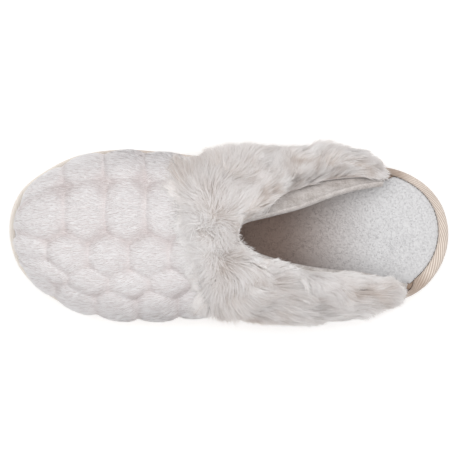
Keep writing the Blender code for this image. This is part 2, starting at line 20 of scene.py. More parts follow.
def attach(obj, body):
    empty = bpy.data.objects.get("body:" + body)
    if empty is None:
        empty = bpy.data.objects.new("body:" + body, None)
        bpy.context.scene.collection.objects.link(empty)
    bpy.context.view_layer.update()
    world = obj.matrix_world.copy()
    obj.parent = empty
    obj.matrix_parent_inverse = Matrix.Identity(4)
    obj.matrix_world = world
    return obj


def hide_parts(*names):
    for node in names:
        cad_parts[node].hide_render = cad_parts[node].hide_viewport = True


bl_info = {
    "name": "Scuff Slipper",
    "version": (1, 0, 0),
    "blender": (4, 5, 0),
    "location": "3D View > Sidebar > Scuff Slipper",
    "description": "Dresses a packed scuff slipper with plush, fur, tape, rubber and a studio",
    "category": "Object",
}

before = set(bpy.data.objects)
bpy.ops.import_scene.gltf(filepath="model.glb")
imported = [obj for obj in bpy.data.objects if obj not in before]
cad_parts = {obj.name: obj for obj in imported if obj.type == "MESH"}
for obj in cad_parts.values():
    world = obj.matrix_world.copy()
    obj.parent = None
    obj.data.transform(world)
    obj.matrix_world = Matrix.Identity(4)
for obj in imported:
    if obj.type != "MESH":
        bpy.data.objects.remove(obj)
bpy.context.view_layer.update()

MM = 0.001
GAP = 0.3  # between neighbouring pieces


def columns(names, *rows):
    """A short table as one array for each named column."""
    return dict(zip(names.split(), np.array(rows, float).T))


# The sole in plan, as in the part's source
LENGTH = 262.0
HEEL_WIDTH = 83.0
BALL_WIDTH = 100.5
HEEL_CENTRE = 0.145
SOLE_EDGE = columns(
    "along medial lateral",
    (0.000, 0.000, 0.000),
    (0.019, 0.232, 0.234),
    (0.060, 0.376, 0.392),
    (0.115, 0.464, 0.479),
    (0.200, 0.499, 0.511),
    (0.300, 0.503, 0.514),
    (0.406, 0.485, 0.499),
    (0.520, 0.471, 0.484),
    (0.620, 0.483, 0.489),
    (0.737, 0.504, 0.497),
    (0.853, 0.461, 0.440),
    (0.921, 0.371, 0.344),
    (0.976, 0.247, 0.199),
    (1.000, 0.033, -0.033),
)
WIDTH_CHANGE = (0.30, 0.65)
HALF = 320  # steps from the heel's back to the toe on each side of every ring
EDGE_STEPS = 2 * HALF
EDGE_SAMPLES = 4000  # on each side, before they are spaced evenly

# The outsole
OUTSOLE_THICKNESS = 7.0
OUTSOLE_SETBACK = 1.0
TREAD_ROUNDING = 1.8
SIDE_GROOVE = 0.9
OUTSOLE_SECTION = columns(
    "rounding groove height",
    (1.00, 0.0, 0.00),
    (0.55, 0.0, 0.07),
    (0.20, 0.0, 0.24),
    (0.00, 0.0, 0.46),
    (0.00, 0.8, 0.52),
    (0.00, 1.0, 0.58),
    (0.00, 0.8, 0.64),
    (0.00, 0.0, 0.70),
    (0.00, 0.0, 1.00),
)
WAIST_ARCH = 1.6
WAIST = (0.27, 0.50)
TOE_SPRING = 6.0
SPRING_START = 0.72
LUG_PITCH = 10.0
GROOVE_WIDTH = 3.0
GROOVE_DEPTH = 1.4
GROOVE_MARGIN = 9.0
GROOVE_SWEEP = 14.0
HEEL_GROOVES = (-3, 3)
FOREFOOT_CENTRE = 0.61
FOREFOOT_GROOVES = (-2, 8)

# The bound rim
RIM_HEIGHT = 13.0
RIM_HEEL_WIDTH = 6.0
RIM_HEEL_SHIFT = 1.9
RIM_UPPER_WIDTH = 3.7
RIM_CHANGE = 7.0
RIM_LAG = 2.0  # behind each wing, before the rim widens
TAPE_TURNS = 140  # slanting ribs met on the way round the sole
RIM_SECTION = columns(
    "inset height",
    (1.00, 0.00),
    (0.20, 0.00),
    (0.00, 0.16),
    (0.00, 0.76),
    (0.16, 0.94),
    (0.50, 1.00),
    (1.00, 0.93),
)
TAPE_END_HEIGHT = 12.0
TAPE_END_PLACE = 7.0  # behind each wing, the middle of the tape's darkened end
TAPE_END_REACH = 12.0
TAPE_TOP_FROM, TAPE_TOP_TO = 0.40, 0.50  # round the tape's section, where its top begins
TAPE_END_SHARE = 0.65  # of the folded end's colour, where the tape is darkest
TOE_LIGHT_FROM, TOE_LIGHT_TO = 0.14, 0.20  # metres from the heel tread, where painted light turns the tape paler
TOE_LIGHT_SHARE = 0.8
TAPE_SAMPLES = 32  # points round the tape's section

# The padded insole
INSOLE_SIDE = 11.6
INSOLE_CROWN = 2.4
SHADE_FROM, SHADE_TO = -0.002, 0.070  # metres from the heel tread, where painted shade turns the insole browner under the vamp
INSOLE_TUFTS = 18500
INSOLE_SEED = 21
INSOLE_TUFT_WIDTH = 0.44
INSOLE_PILE_REACH = 108  # x, up to where the tufts stand
DEEP_GAIN = 1.5  # of the painted shade's colour under the vamp, where little light reaches: painted light that lifts it deepest in
INSOLE_SECTION = columns(
    "inset crown",
    (0.00, 0.00),
    (0.25, 0.18),
    (0.80, 0.38),
    (1.60, 0.55),
    (3.50, 0.74),
    (6.00, 0.85),
    (10.0, 0.94),
    (16.0, 1.00),
    (24.0, 1.00),
)

# The upper
WALL = 3.7
THROAT_RISE = 45.0
BELLY = 2.6
BELLY_TOP = 0.8
LATERAL_WING = 0.088
MEDIAL_WING = 0.150
UPPER_SECTIONS = columns(
    "side foot_along top_along top_across top_height cap rise belly cuff edge",
    (+1, 0.088, 0.098, 0.395, 0.13, 1.00, 0.60, 0.0, 0.50, 1.00),
    (+1, 0.140, 0.136, 0.345, 0.26, 1.00, 0.60, 0.0, 0.95, 1.00),
    (+1, 0.210, 0.200, 0.297, 0.41, 1.00, 0.60, 0.1, 1.05, 1.00),
    (+1, 0.300, 0.282, 0.276, 0.58, 0.95, 0.60, 0.3, 1.05, 1.00),
    (+1, 0.400, 0.352, 0.236, 0.75, 0.75, 0.55, 0.6, 0.95, 1.00),
    (+1, 0.520, 0.425, 0.160, 0.89, 0.50, 0.48, 1.0, 0.85, 1.00),
    (+1, 0.720, 0.468, 0.085, 0.98, 0.36, 0.45, 1.0, 0.80, 1.00),
    (+1, 0.900, 0.480, 0.047, 1.00, 0.28, 0.48, 0.3, 0.80, 1.00),
    (+1, 1.000, 0.483, 0.010, 1.00, 0.25, 0.50, -0.6, 0.80, 1.00),
    (-1, 0.900, 0.479, -0.050, 1.00, 0.28, 0.48, -0.4, 0.80, 1.00),
    (-1, 0.720, 0.464, -0.094, 0.97, 0.36, 0.45, -0.1, 0.80, 1.00),
    (-1, 0.520, 0.405, -0.150, 0.87, 0.50, 0.48, 0.0, 0.85, 0.93),
    (-1, 0.400, 0.338, -0.213, 0.71, 0.75, 0.55, 0.0, 0.95, 0.72),
    (-1, 0.300, 0.268, -0.298, 0.54, 0.95, 0.60, 0.0, 1.05, 0.60),
    (-1, 0.210, 0.203, -0.355, 0.39, 1.00, 0.60, 0.0, 0.95, 0.64),
    (-1, 0.150, 0.150, -0.380, 0.26, 1.00, 0.60, 0.0, 0.60, 0.72),
)
SECTIONS = 280  # across the upper, from wing to wing
OUTER_ROWS = 84
CUFF_ROWS = 12
LINING_ROWS = 26
PILE_HAIRS = 37000
PILE_WISPS = 5200
PILE_SEED = 11
PILE_PULL = 0.25  # of a hair's tip towards the leading hair of its wisp
PILE_ROWS_UNDER = 2  # of the cuff's rows that the pile reaches under the fur on the vamp
VAMP_FROM = 88.0  # x
PUFF_PITCH = 24.0
PUFF_REACH = 14.6
PUFF_SPREAD = 1.30  # of the puffs' half widths, so that neighbours meet in a crease
CREASE_SOFTNESS = 0.06
CREASE_FLOOR = 0.26  # of the puffs' height, in the pits where three of them meet
PUFF_ROWS = columns(
    "across half_width foremost",
    (-0.84, 0.20, 0.916),
    (-0.29, 0.32, 0.912),
    (0.27, 0.22, 0.950),
    (0.57, 0.14, 0.904),
    (0.87, 0.20, 0.932),
)
PUFF_COUNT = 6
FRONT_STRETCH = 1.9  # how much further the foremost puffs reach ahead
TOE_BAND = 0.45  # of the puffs' height, in the band beside the rim at the toe
TOE_BAND_FROM = (165.0, 190.0)
PUFF_START = (1.5, 9.0)
PUFF_END = (0.95, 1.0)

# The fur cuff
FUR_DEPTH = 12.5
CUFF_FRONT = columns(
    "across along",
    (-1.10, 0.545),
    (-0.45, 0.600),
    (0.20, 0.574),
    (1.10, 0.526),
)
CUFF_CLEARANCE = 2.0
CUFF_SEAT = 3 * GAP  # over the upper, and so over the lining's turned edge
CUFF_SEAT_ROWS = 12
LINING_EDGE = 0.45  # how high the lining's turned edge lies on the upper
LINING_TURN = [(-0.92, 0.5), (-0.65, 1.05), (-0.25, 1.25), (0.05, 0.95), (0.2, 0.4)]
LINING_GAP = 0.25  # between the lining and the shell it backs
CUFF_OVERHANG = 3.6
CUFF_LIP = 1.6
CUFF_END_LATERAL = 40.0
CUFF_END_MEDIAL = 7.5
CUFF_SECTION = columns(
    "place depth",
    (0.00, 0.22),
    (0.04, 0.60),
    (0.18, 0.86),
    (0.38, 0.97),
    (0.58, 1.00),
    (0.78, 1.00),
    (0.94, 0.92),
)
CUFF_NOSE = columns(
    "reach depth",
    (0.60, 0.76),
    (1.00, 0.42),
    (0.70, 0.10),
)
ROLL_SAMPLES = 40
FRONT_GAIN = 1.6  # how much denser the hairs stand along the front edge on the vamp
FUR_HAIRS = 26000  # in each piece of the fur
FUR_AREA = 6000.0  # about, of each piece of the fur, in square millimetres
LOCK_PULL, WISP_PULL = 0.08, 0.3  # of a hair's tip towards the leading hair
HAIR_CLEARANCE = 0.8  # between the hairs' stations and the quilted shell
ROLL_CORE = 0.99  # share of the fur's depth that the backing fills
WING_BULGE = 0.34  # how much deeper the fur hangs low on the wings
PARTING = np.array([(105.6, -8.7), (102.6, 14.0)])  # the line that the hairs sweep away from
HOLLOWS = columns(
    "x y radius",
    (53.6, -38.5, 4.2),
    (71.5, -23.6, 4.6),
    (41.1, -42.7, 3.4),
    (17.8, 33.1, 4.4),
    (65.6, 26.0, 3.8),
    (81.0, 25.5, 3.4),
)

# The view
PHOTO_SPAN = 0.2728  # metres across the frame at the sole's edge
PHOTO_CENTRE = (0.09334, -0.00358)
PHOTO_HEIGHT = 0.02  # metres over the floor, where the span is measured
SENSOR = 36.0  # millimetres across the camera's sensor
FLOOR_SIZE = 6.0  # metres, half the floor's side
SOFTBOX_SIZE = (3.0, 2.4)
SOFTBOX_PLACE = (0.1, -0.2, 1.8)
SOFTBOX_AIM = (0.09, 0, 0)


# Shape functions


def smooth(at, places, values):
    """Reads, at the given places, the smooth curve through a column of values."""
    slopes = np.gradient(values, places)
    first = np.clip(np.searchsorted(places, at) - 1, 0, len(places) - 2)
    step = places[first + 1] - places[first]
    t = (at - places[first]) / step
    start = values[first] * (1 + 2 * t) + slopes[first] * step * t
    end = values[first + 1] * (3 - 2 * t) + slopes[first + 1] * step * (t - 1)
    return start * (1 - t) ** 2 + end * t**2


def ramp(value, low, high):
    """0 up to low, 1 from high on, and a smooth S between them."""
    t = np.clip((value - low) / (high - low), 0, 1)
    return t * t * (3 - 2 * t)


def unit(vectors):
    return vectors / np.maximum(np.linalg.norm(vectors, axis=-1, keepdims=True), 1e-9)


def along_of(x):
    return x / LENGTH + HEEL_CENTRE


def ruling_width(along):
    return HEEL_WIDTH + (BALL_WIDTH - HEEL_WIDTH) * ramp(along, *WIDTH_CHANGE)


def half_width(along, side):
    """The sole's half width on one side."""
    along = np.clip(along, 0, 1)
    station = np.arccos(1 - 2 * along)
    stations = np.arccos(1 - 2 * SOLE_EDGE["along"])
    share = np.where(
        side > 0,
        smooth(station, stations, SOLE_EDGE["lateral"]),
        smooth(station, stations, SOLE_EDGE["medial"]),
    )
    return ruling_width(along) * share


def evenly(points, count):
    """count + 1 points at equal steps along a line of points."""
    steps = np.linalg.norm(np.diff(points, axis=0), axis=1)
    run = np.concatenate([[0], np.cumsum(steps)])
    at = np.linspace(0, run[-1], count + 1)
    return np.column_stack([np.interp(at, run, axis) for axis in points.T])


def sole_edge():
    """The sole's edge and its outward normals, from the heel's back past the lateral side to the
    toe and back along the medial side."""
    along = (1 - np.cos(np.linspace(0, math.pi, EDGE_SAMPLES))) / 2
    x = (along - HEEL_CENTRE) * LENGTH
    lateral = evenly(np.column_stack([x, half_width(along, 1)]), HALF)
    medial = evenly(np.column_stack([x, -half_width(along, -1)]), HALF)
    edge = np.concatenate([lateral, medial[-2:0:-1]])
    ahead = unit(np.roll(edge, -2, axis=0) - np.roll(edge, 2, axis=0))
    return edge, np.column_stack([-ahead[:, 1], ahead[:, 0]])


EDGE, EDGE_OUT = sole_edge()
EDGE_LATERAL = along_of(EDGE[: HALF + 1, 0])
EDGE_MEDIAL = along_of(np.concatenate([EDGE[HALF:, 0], EDGE[:1, 0]]))[::-1]
EDGE_RUN = np.concatenate([[0], np.cumsum(np.linalg.norm(np.diff(EDGE, axis=0), axis=1))])


def edge_place(along, side):
    """The place on the sole's edge, in edge steps, of a share of the length on one side."""
    lateral = np.interp(along, EDGE_LATERAL, np.arange(HALF + 1))
    medial = EDGE_STEPS - np.interp(along, EDGE_MEDIAL, np.arange(HALF + 1))
    return np.where(side > 0, lateral, medial)


def edge_at(places):
    """Points and normals at places on the sole's edge, which may lie between its points."""
    first = np.floor(places).astype(int)
    part = (places - first)[:, None]
    near, far = first % EDGE_STEPS, (first + 1) % EDGE_STEPS
    return (
        EDGE[near] * (1 - part) + EDGE[far] * part,
        EDGE_OUT[near] * (1 - part) + EDGE_OUT[far] * part,
    )


def spring(x):
    return TOE_SPRING * (np.clip(along_of(x) - SPRING_START, 0, None) / (1 - SPRING_START)) ** 2


def waist(x):
    share = np.clip((along_of(x) - WAIST[0]) / (WAIST[1] - WAIST[0]), 0, 1)
    return np.sin(math.pi * share) ** 2


def ring(inset, height):
    """The sole's edge moved in and up, with the toe spring."""
    flat = EDGE - EDGE_OUT * np.broadcast_to(inset, EDGE_STEPS)[:, None]
    return np.column_stack([flat, height + spring(flat[:, 0])])


def rim_width():
    """The rim's width at each edge point, and how much of it is the heel's."""
    lateral_end = edge_place(LATERAL_WING, 1)
    medial_end = edge_place(MEDIAL_WING, -1)
    place = np.arange(EDGE_STEPS)
    step = EDGE_RUN[1]
    behind = np.maximum(lateral_end - place, place - medial_end) * step - RIM_LAG
    side = EDGE[:, 1] / (HEEL_WIDTH / 2)
    heel = RIM_HEEL_WIDTH + RIM_HEEL_SHIFT * np.clip(side, -1, 1)
    share = ramp(behind, 0, RIM_CHANGE)
    return RIM_UPPER_WIDTH + (heel - RIM_UPPER_WIDTH) * share, share


RIM_WIDTH, HEEL_SHARE = rim_width()
SLOT = GAP + WALL
RIM_FOOT = OUTSOLE_THICKNESS + GAP
RIM_TOP = RIM_FOOT + RIM_HEIGHT
SLOT_TOP = RIM_TOP + 2 * GAP


def insole_inset():
    """How far the insole's side stands inside the sole's edge: past the rim, and past the upper."""
    beside_upper = RIM_UPPER_WIDTH + SLOT
    return GAP + RIM_WIDTH * HEEL_SHARE + beside_upper * (1 - HEEL_SHARE)


def section_values(places, name):
    """One column of the upper's sections, read at places on the sole's edge."""
    at = edge_place(UPPER_SECTIONS["foot_along"], UPPER_SECTIONS["side"])
    return smooth(places, at, UPPER_SECTIONS[name])


def upper_curves(places, steps=90):
    """The outside of the upper before it is quilted: for each place a curve of points, straight up
    out of the slot beside the rim, round the lower part and up the slope to the topline."""
    edge, out = edge_at(places)
    foot = edge - out * (RIM_UPPER_WIDTH + GAP)
    top_along = section_values(places, "top_along")
    top = np.column_stack([
        (top_along - HEEL_CENTRE) * LENGTH,
        section_values(places, "top_across") * ruling_width(top_along),
    ])
    rise = THROAT_RISE * section_values(places, "top_height")[:, None]
    cap = section_values(places, "cap")[:, None]
    slope = section_values(places, "rise")[:, None]
    belly = BELLY * section_values(places, "belly")[:, None, None]
    turn = np.linspace(0, 1, steps) * math.pi / 2
    run = cap * (1 - np.cos(turn))
    arc = np.broadcast_to(np.sin(turn), run.shape)
    rest = np.linspace(0, 1, steps)[1:] * (1 - cap)
    run = np.concatenate([run, cap + rest], axis=1)
    arc = np.concatenate([arc, np.ones_like(rest)], axis=1)
    high = (1 - slope) * arc + slope * run
    full = np.sin(math.pi * np.clip(high / BELLY_TOP, 0, 1))[..., None]
    flat = foot[:, None] + (top - foot)[:, None] * run[..., None] + out[:, None] * belly * full
    lifted = SLOT_TOP + rise * high
    shaped = np.concatenate([flat, (lifted + spring(flat[..., 0]))[..., None]], axis=2)
    base = shaped[:, :1].copy()
    base[:, 0, 2] = RIM_FOOT + spring(base[:, 0, 0])
    upright = base + (shaped[:, :1] - base) * np.linspace(0, 1, steps // 4)[None, :-1, None]
    return np.concatenate([upright, shaped], axis=1)


def run_shares(curves):
    """How far along each curve its points stand, as shares of its length."""
    steps = np.linalg.norm(np.diff(curves, axis=1), axis=2)
    run = np.concatenate([np.zeros((len(curves), 1)), np.cumsum(steps, axis=1)], axis=1)
    return run / run[:, -1:]


def read_fields(fields, runs, shares):
    """Values at shares of each section. Shares has one row for each section."""
    return np.array([
        [np.interp(share, run, axis) for axis in field.T]
        for field, run, share in zip(fields, runs, shares)
    ]).transpose(0, 2, 1)


def crossing(curves, measure):
    """The share of each curve where a measure along it first rises over zero."""
    first = np.maximum(np.argmax(measure > 0, axis=1), 1)
    row = np.arange(len(curves))
    low, high = measure[row, first - 1], measure[row, first]
    part = np.clip(-low / np.maximum(high - low, 1e-9), 0, 1)
    runs = run_shares(curves)
    return (runs[row, first - 1] * (1 - part) + runs[row, first] * part)[:, None]


def puff_relief(points):
    """How far the quilting stands proud at points of the vamp."""
    x, y = points[..., 0], points[..., 1]
    side = np.where(y > 0, 1, -1)
    across = y / half_width(along_of(x), side)
    total = np.zeros(x.shape)
    rows = zip(PUFF_ROWS["across"], PUFF_ROWS["half_width"] * PUFF_SPREAD, PUFF_ROWS["foremost"])
    for middle, half, foremost in rows:
        for n in range(PUFF_COUNT):
            centre = (foremost - HEEL_CENTRE) * LENGTH - n * PUFF_PITCH
            ahead = FRONT_STRETCH if n == 0 else 1.0
            reach = PUFF_REACH * np.where(x > centre, ahead, 1.0)
            far = ((x - centre) / reach) ** 2 + ((across - middle) / half) ** 2
            total += np.exp(np.sqrt(np.clip(1 - far, 0, 1)) / CREASE_SOFTNESS) - 1
    floor = math.exp(CREASE_FLOOR / CREASE_SOFTNESS)
    return np.clip(CREASE_SOFTNESS * np.log(total + floor), 0, 1)


def puff_share(points):
    """The puffs' relief where they show, and nearly full in the plain band beside the rim."""
    over = points[..., 2] - spring(points[..., 0]) - RIM_TOP
    band = over - 7 * ramp(points[..., 0], 180, 205)
    return np.maximum(puff_relief(points), 0.9 * (1 - ramp(band, 2, 8)))


def wander(points, rng, pitch):
    """Smooth random values at points, with a spread of about one."""
    waves = unit(rng.normal(0, 1, (7, 3))) * 2 * math.pi / pitch * rng.uniform(0.6, 1.5, (7, 1))
    return np.sin(points @ waves.T + rng.uniform(0, 2 * math.pi, 7)).sum(axis=1) / math.sqrt(3.5)


class Upper:
    """The upper's surface: curves from the sole's edge to the topline with their normals, the share
    of each where the cuff starts, and the share where the fur ends."""

    def __init__(self):
        first, last = edge_place(LATERAL_WING, 1), edge_place(MEDIAL_WING, -1)
        self.places = np.linspace(first, last, SECTIONS)
        self.curves = upper_curves(self.places)
        self.runs = run_shares(self.curves)
        x, y, z = np.moveaxis(self.curves, 2, 0)
        over = z - spring(x) - SLOT_TOP
        self.slot = crossing(self.curves, over + GAP)
        side = np.where(y > 0, 1, -1)
        across = np.clip(y / half_width(along_of(x), side), -1.1, 1.1)
        front = smooth(across, CUFF_FRONT["across"], CUFF_FRONT["along"])
        at_front = crossing(self.curves, front - along_of(x))
        self.cuff = np.maximum(at_front, crossing(self.curves, over - CUFF_CLEARANCE))
        edge = np.clip(section_values(self.places, "edge"), 0, 1)[:, None]
        self.edge = edge
        self.top = self.cuff + (1 - self.cuff) * edge
        self.even = np.linspace(0, 1, 60)
        grid = self.point(np.tile(self.even, (SECTIONS, 1)))
        normal = unit(np.cross(np.gradient(grid, axis=1), np.gradient(grid, axis=0)))
        edge_out = np.column_stack([edge_at(self.places)[1], np.zeros(SECTIONS)])
        in_slot = grid[..., 2] - spring(grid[..., 0]) < SLOT_TOP
        self.normals = np.where(in_slot[..., None], edge_out[:, None], normal)

    def point(self, shares):
        return read_fields(self.curves, self.runs, shares)

    def normal(self, shares):
        runs = np.broadcast_to(self.even, (SECTIONS, len(self.even)))
        return unit(read_fields(self.normals, runs, shares))

    def ahead(self, shares):
        """The way up the wall."""
        low, high = np.clip(shares - 0.03, 0, 1), np.clip(shares + 0.01, 0, 1)
        return unit(self.point(high) - self.point(low))

    def puffed(self, shares, height):
        """Points of the quilted outside."""
        plain = self.point(shares)
        over = plain[..., 2] - spring(plain[..., 0]) - RIM_TOP
        foot = self.curves[:, 0]
        held = 1 - ramp(foot[:, 1] / HEEL_WIDTH, 0.1, 0.45)[:, None]
        over = over - 1.2 * held
        proud = ramp(over, *PUFF_START) * (1 - ramp(shares / self.cuff, *PUFF_END))
        band = TOE_BAND * ramp(foot[:, :1], *TOE_BAND_FROM) * (1 - ramp(over, 5, 13))
        relief = np.maximum(puff_relief(plain), band)
        return plain + self.normal(shares) * (height * relief * proud)[..., None]


@lru_cache(None)
def upper_form():
    return Upper()


def wing_distance():
    """The distance along the sole's edge from each section to the nearer end of the upper."""
    run = upper_form().places * EDGE_RUN[1]
    return np.minimum(run - run[0], run[-1] - run)


def through(points, count, closed=False):
    """Resamples rows of points by smooth curves through them, count points to each."""
    rows, size = points.shape[:2]
    spans = size if closed else size - 1
    at = np.linspace(0, spans, count, endpoint=not closed)
    first = np.minimum(at.astype(int), spans - 1)
    t = (at - first)[None, :, None]

    def knot(k):
        return points[:, k % size] if closed else points[:, np.clip(k, 0, size - 1)]

    p0, p1, p2, p3 = (knot(first + k) for k in (-1, 0, 1, 2))
    return 0.5 * (
        2 * p1
        + (p2 - p0) * t
        + (2 * p0 - 5 * p1 + 4 * p2 - p3) * t**2
        + (3 * p1 - p0 - 3 * p2 + p3) * t**3
    )


# Mesh makers


def faces_between(rings, size, closed):
    """Quads between rings of equal size, whose points close into a ring each."""
    faces = []
    for r in range(rings if closed else rings - 1):
        low, high = r * size, (r + 1) % rings * size
        for k in range(size):
            n = (k + 1) % size
            faces.append((low + k, low + n, high + n, high + k))
    return faces


def rung_faces(start):
    """Faces that span one ring of the sole from side to side, heel to toe."""
    faces = []
    for k in range(HALF):
        corners = [k, k + 1, EDGE_STEPS - k - 1, (EDGE_STEPS - k) % EDGE_STEPS]
        faces.append(tuple(start + c for c in dict.fromkeys(corners)))
    return faces


def piece(name, points, faces, finish):
    """One closed piece from points in millimetres."""
    mesh = bpy.data.meshes.new(name)
    mesh.from_pydata((np.asarray(points) * MM).tolist(), [], faces)
    shape = bmesh.new()
    shape.from_mesh(mesh)
    bmesh.ops.recalc_face_normals(shape, faces=shape.faces)
    shape.to_mesh(mesh)
    shape.free()
    mesh.shade_smooth()
    mesh.materials.append(finish)
    obj = bpy.data.objects.new(name, mesh)
    bpy.context.scene.collection.objects.link(obj)
    return obj


def shell(name, sections, finish):
    """A piece lofted through closed sections, with its two ends filled."""
    count, size = sections.shape[:2]
    faces = faces_between(count, size, closed=False)
    faces += [tuple(range(size)), tuple((count - 1) * size + k for k in range(size))]
    return piece(name, sections.reshape(-1, 3), faces, finish)


MAP_EDGE, MAP_SPAN, MAP_HALF = 0.02, 0.94, 0.008  # where a hair's map lies, by its tone
TAPER = {5: (0.75, 1.0, 0.85, 0.55), 4: (0.9, 1.0, 0.6), 3: (1.0, 0.8)}


def ribbons(name, spine, facing, width, tone, finish, roll):
    """Hairs as tapered ribbons: spine and facing have a row of stations for each hair. Each
    ribbon's map runs from root to tip, and across by the hair's tone."""
    count, stations = spine.shape[:2]
    way = unit(np.gradient(spine, axis=1))
    facing = unit(facing - way * (facing * way).sum(-1, keepdims=True))
    aside = np.cross(way, facing)
    turned = aside * np.cos(roll)[:, None, None] + facing * np.sin(roll)[:, None, None]
    half = turned[:, :-1] * (width[:, None] * np.array(TAPER[stations]) / 2)[..., None]
    pairs = np.stack([spine[:, :-1] - half, spine[:, :-1] + half], axis=2)
    points = np.concatenate([pairs.reshape(count, -1, 3), spine[:, -1:]], axis=1)
    size = 2 * stations - 1
    start = np.arange(count)[:, None, None] * size
    ladder = np.array([[2 * j, 2 * j + 1, 2 * j + 3, 2 * j + 2] for j in range(stations - 2)])
    tip = np.array([[size - 3, size - 2, size - 1]])
    quads, tips = (start + ladder).reshape(-1, 4), (start + tip).reshape(-1, 3)
    mesh = bpy.data.meshes.new(name)
    mesh.from_pydata((points.reshape(-1, 3) * MM).tolist(), [], quads.tolist() + tips.tolist())
    mesh.shade_smooth()
    normals = np.concatenate([np.repeat(facing[:, :-1], 2, axis=1), facing[:, -1:]], axis=1)
    mesh.normals_split_custom_set_from_vertices(normals.reshape(-1, 3).tolist())
    run = np.arange(stations) / (stations - 1)
    tones = MAP_EDGE + MAP_SPAN * tone[:, None]
    across = tones[..., None] + MAP_HALF * np.array([-1, 1, 1, -1])
    up = np.array([run[[j, j, j + 1, j + 1]] for j in range(stations - 2)])
    shape = (count, stations - 2, 4)
    quad_map = np.stack(np.broadcast_arrays(across, up[None]), axis=-1).reshape(*shape, 2)
    tip_across = tones + MAP_HALF * np.array([-1, 1, 0])
    tip_map = np.stack(np.broadcast_arrays(tip_across, run[[-2, -2, -1]]), axis=-1)
    layout = np.concatenate([quad_map.reshape(-1, 2), tip_map.reshape(-1, 2)])
    mesh.uv_layers.new(name="OFBake").data.foreach_set("uv", np.clip(layout, 0.001, 0.999).ravel())
    mesh.materials.append(finish)
    obj = bpy.data.objects.new(name, mesh)
    bpy.context.scene.collection.objects.link(obj)
    return obj


class Scatter:
    """Places spread evenly by area over a grid of points, and what any field says there."""

    def __init__(self, grid, count, rng, weight=None):
        along, up = grid[1:, :-1] - grid[:-1, :-1], grid[:-1, 1:] - grid[:-1, :-1]
        area = np.linalg.norm(np.cross(along, up), axis=2)
        if weight is not None:
            area = area * weight[:-1, :-1]
        total = np.cumsum(area.ravel())
        pick = (np.arange(count) + rng.random(count)) / count * total[-1]
        cell = np.minimum(np.searchsorted(total, pick), len(total) - 1)
        self.row, self.column = np.divmod(cell, grid.shape[1] - 1)
        self.down, self.over = rng.random(count), rng.random(count)

    def read(self, field):
        r, c = self.row, self.column
        shape = (-1,) + (1,) * (field.ndim - 2)
        d, o = self.down.reshape(shape), self.over.reshape(shape)
        near = field[r, c] * (1 - o) + field[r, c + 1] * o
        far = field[r + 1, c] * (1 - o) + field[r + 1, c + 1] * o
        return near * (1 - d) + far * d


def grid_normals(grid, outward):
    """Unit normals of a grid of points, turned to the side of the outward field."""
    normals = unit(np.cross(np.gradient(grid, axis=1), np.gradient(grid, axis=0)))
    facing = (normals * outward).sum(-1, keepdims=True)
    return np.where(facing < 0, -normals, normals)


def nearest(points, centres):
    """For each point, which of the centres is nearest."""
    tree = KDTree(len(centres))
    for k, centre in enumerate(centres):
        tree.insert(centre, k)
    tree.balance()
    return np.array([tree.find(point)[1] for point in points])


def strands(root, starts, ends, length, stations, bend, axis=None, curl=None):
    """Hairs that leave their roots one way and bend over to another, and curl about an axis."""
    at = (np.arange(stations - 1) + 0.5) / (stations - 1)
    share = (at**bend)[None, :, None]
    way = unit(starts[:, None] * (1 - share) + ends[:, None] * share)
    if curl is not None:
        way = turned(way, axis[:, None], curl[:, None] * at)
    steps = way * (length / (stations - 1))[:, None, None]
    return np.concatenate([root[:, None], root[:, None] + np.cumsum(steps, axis=1)], axis=1)


def gather(spine, owner, leaders, pull, power=1.4):
    """Draws the hairs together towards the leading hair of their lock."""
    share = pull * np.linspace(0, 1, spine.shape[1]) ** power
    return spine + (leaders[owner] - spine) * share[None, :, None]


def clear_of(spine, tree, gap, reach=14.0):
    """Lifts the hairs' stations out of a surface, in millimetres."""
    flat = spine.reshape(-1, 3)
    for k, point in enumerate(flat):
        if k % spine.shape[1] == 0:
            continue
        place, normal, _, far = tree.find_nearest(Vector(point), reach)
        if place is None:
            continue
        over = (Vector(point) - place).dot(normal)
        if over < gap:
            flat[k] = np.array(place + normal * gap)
    return flat.reshape(spine.shape)


def turned(vectors, axes, angles):
    """Vectors turned about unit axes."""
    c, s = np.cos(angles)[..., None], np.sin(angles)[..., None]
    return vectors * c + np.cross(axes, vectors) * s


# Shader groups and finishes


def group(name, inputs, outputs):
    """A shader node group with its sockets, which are given as (name, type, default)."""
    tree = bpy.data.node_groups.new(name, "ShaderNodeTree")
    for label, kind, default in inputs:
        socket = tree.interface.new_socket(label, in_out="INPUT", socket_type=kind)
        socket.default_value = default
    for label, kind in outputs:
        tree.interface.new_socket(label, in_out="OUTPUT", socket_type=kind)
    return tree, tree.nodes.new("NodeGroupInput"), tree.nodes.new("NodeGroupOutput")


def node(tree, kind, links=None, **values):
    """A node with its settings, and its inputs linked or set by name or number."""
    made = tree.nodes.new(kind)
    for name, value in values.items():
        setattr(made, name, value)
    for key, value in (links or {}).items():
        if isinstance(value, bpy.types.NodeSocket):
            tree.links.new(value, made.inputs[key])
        else:
            made.inputs[key].default_value = value
    return made


def blend_colours(tree, factor, low, high):
    mixed = node(tree, "ShaderNodeMix", {0: factor, 6: low, 7: high}, data_type="RGBA")
    return mixed.outputs[2]


def ranged(tree, value, low, high, start=0.0, end=1.0, **how):
    """A value spread from low and high to start and end, and held there."""
    spread = {0: value, 1: low, 2: high, 3: start, 4: end}
    return node(tree, "ShaderNodeMapRange", spread, clamp=True, **how).outputs[0]


def reckoned(tree, operation, *values):
    """The result of a sum on values or sockets."""
    return node(tree, "ShaderNodeMath", dict(enumerate(values)), operation=operation).outputs[0]


def map_parts(tree, name):
    """The two numbers of one of the mesh's maps."""
    place = node(tree, "ShaderNodeUVMap", uv_map=name)
    return node(tree, "ShaderNodeSeparateXYZ", {0: place.outputs[0]}).outputs


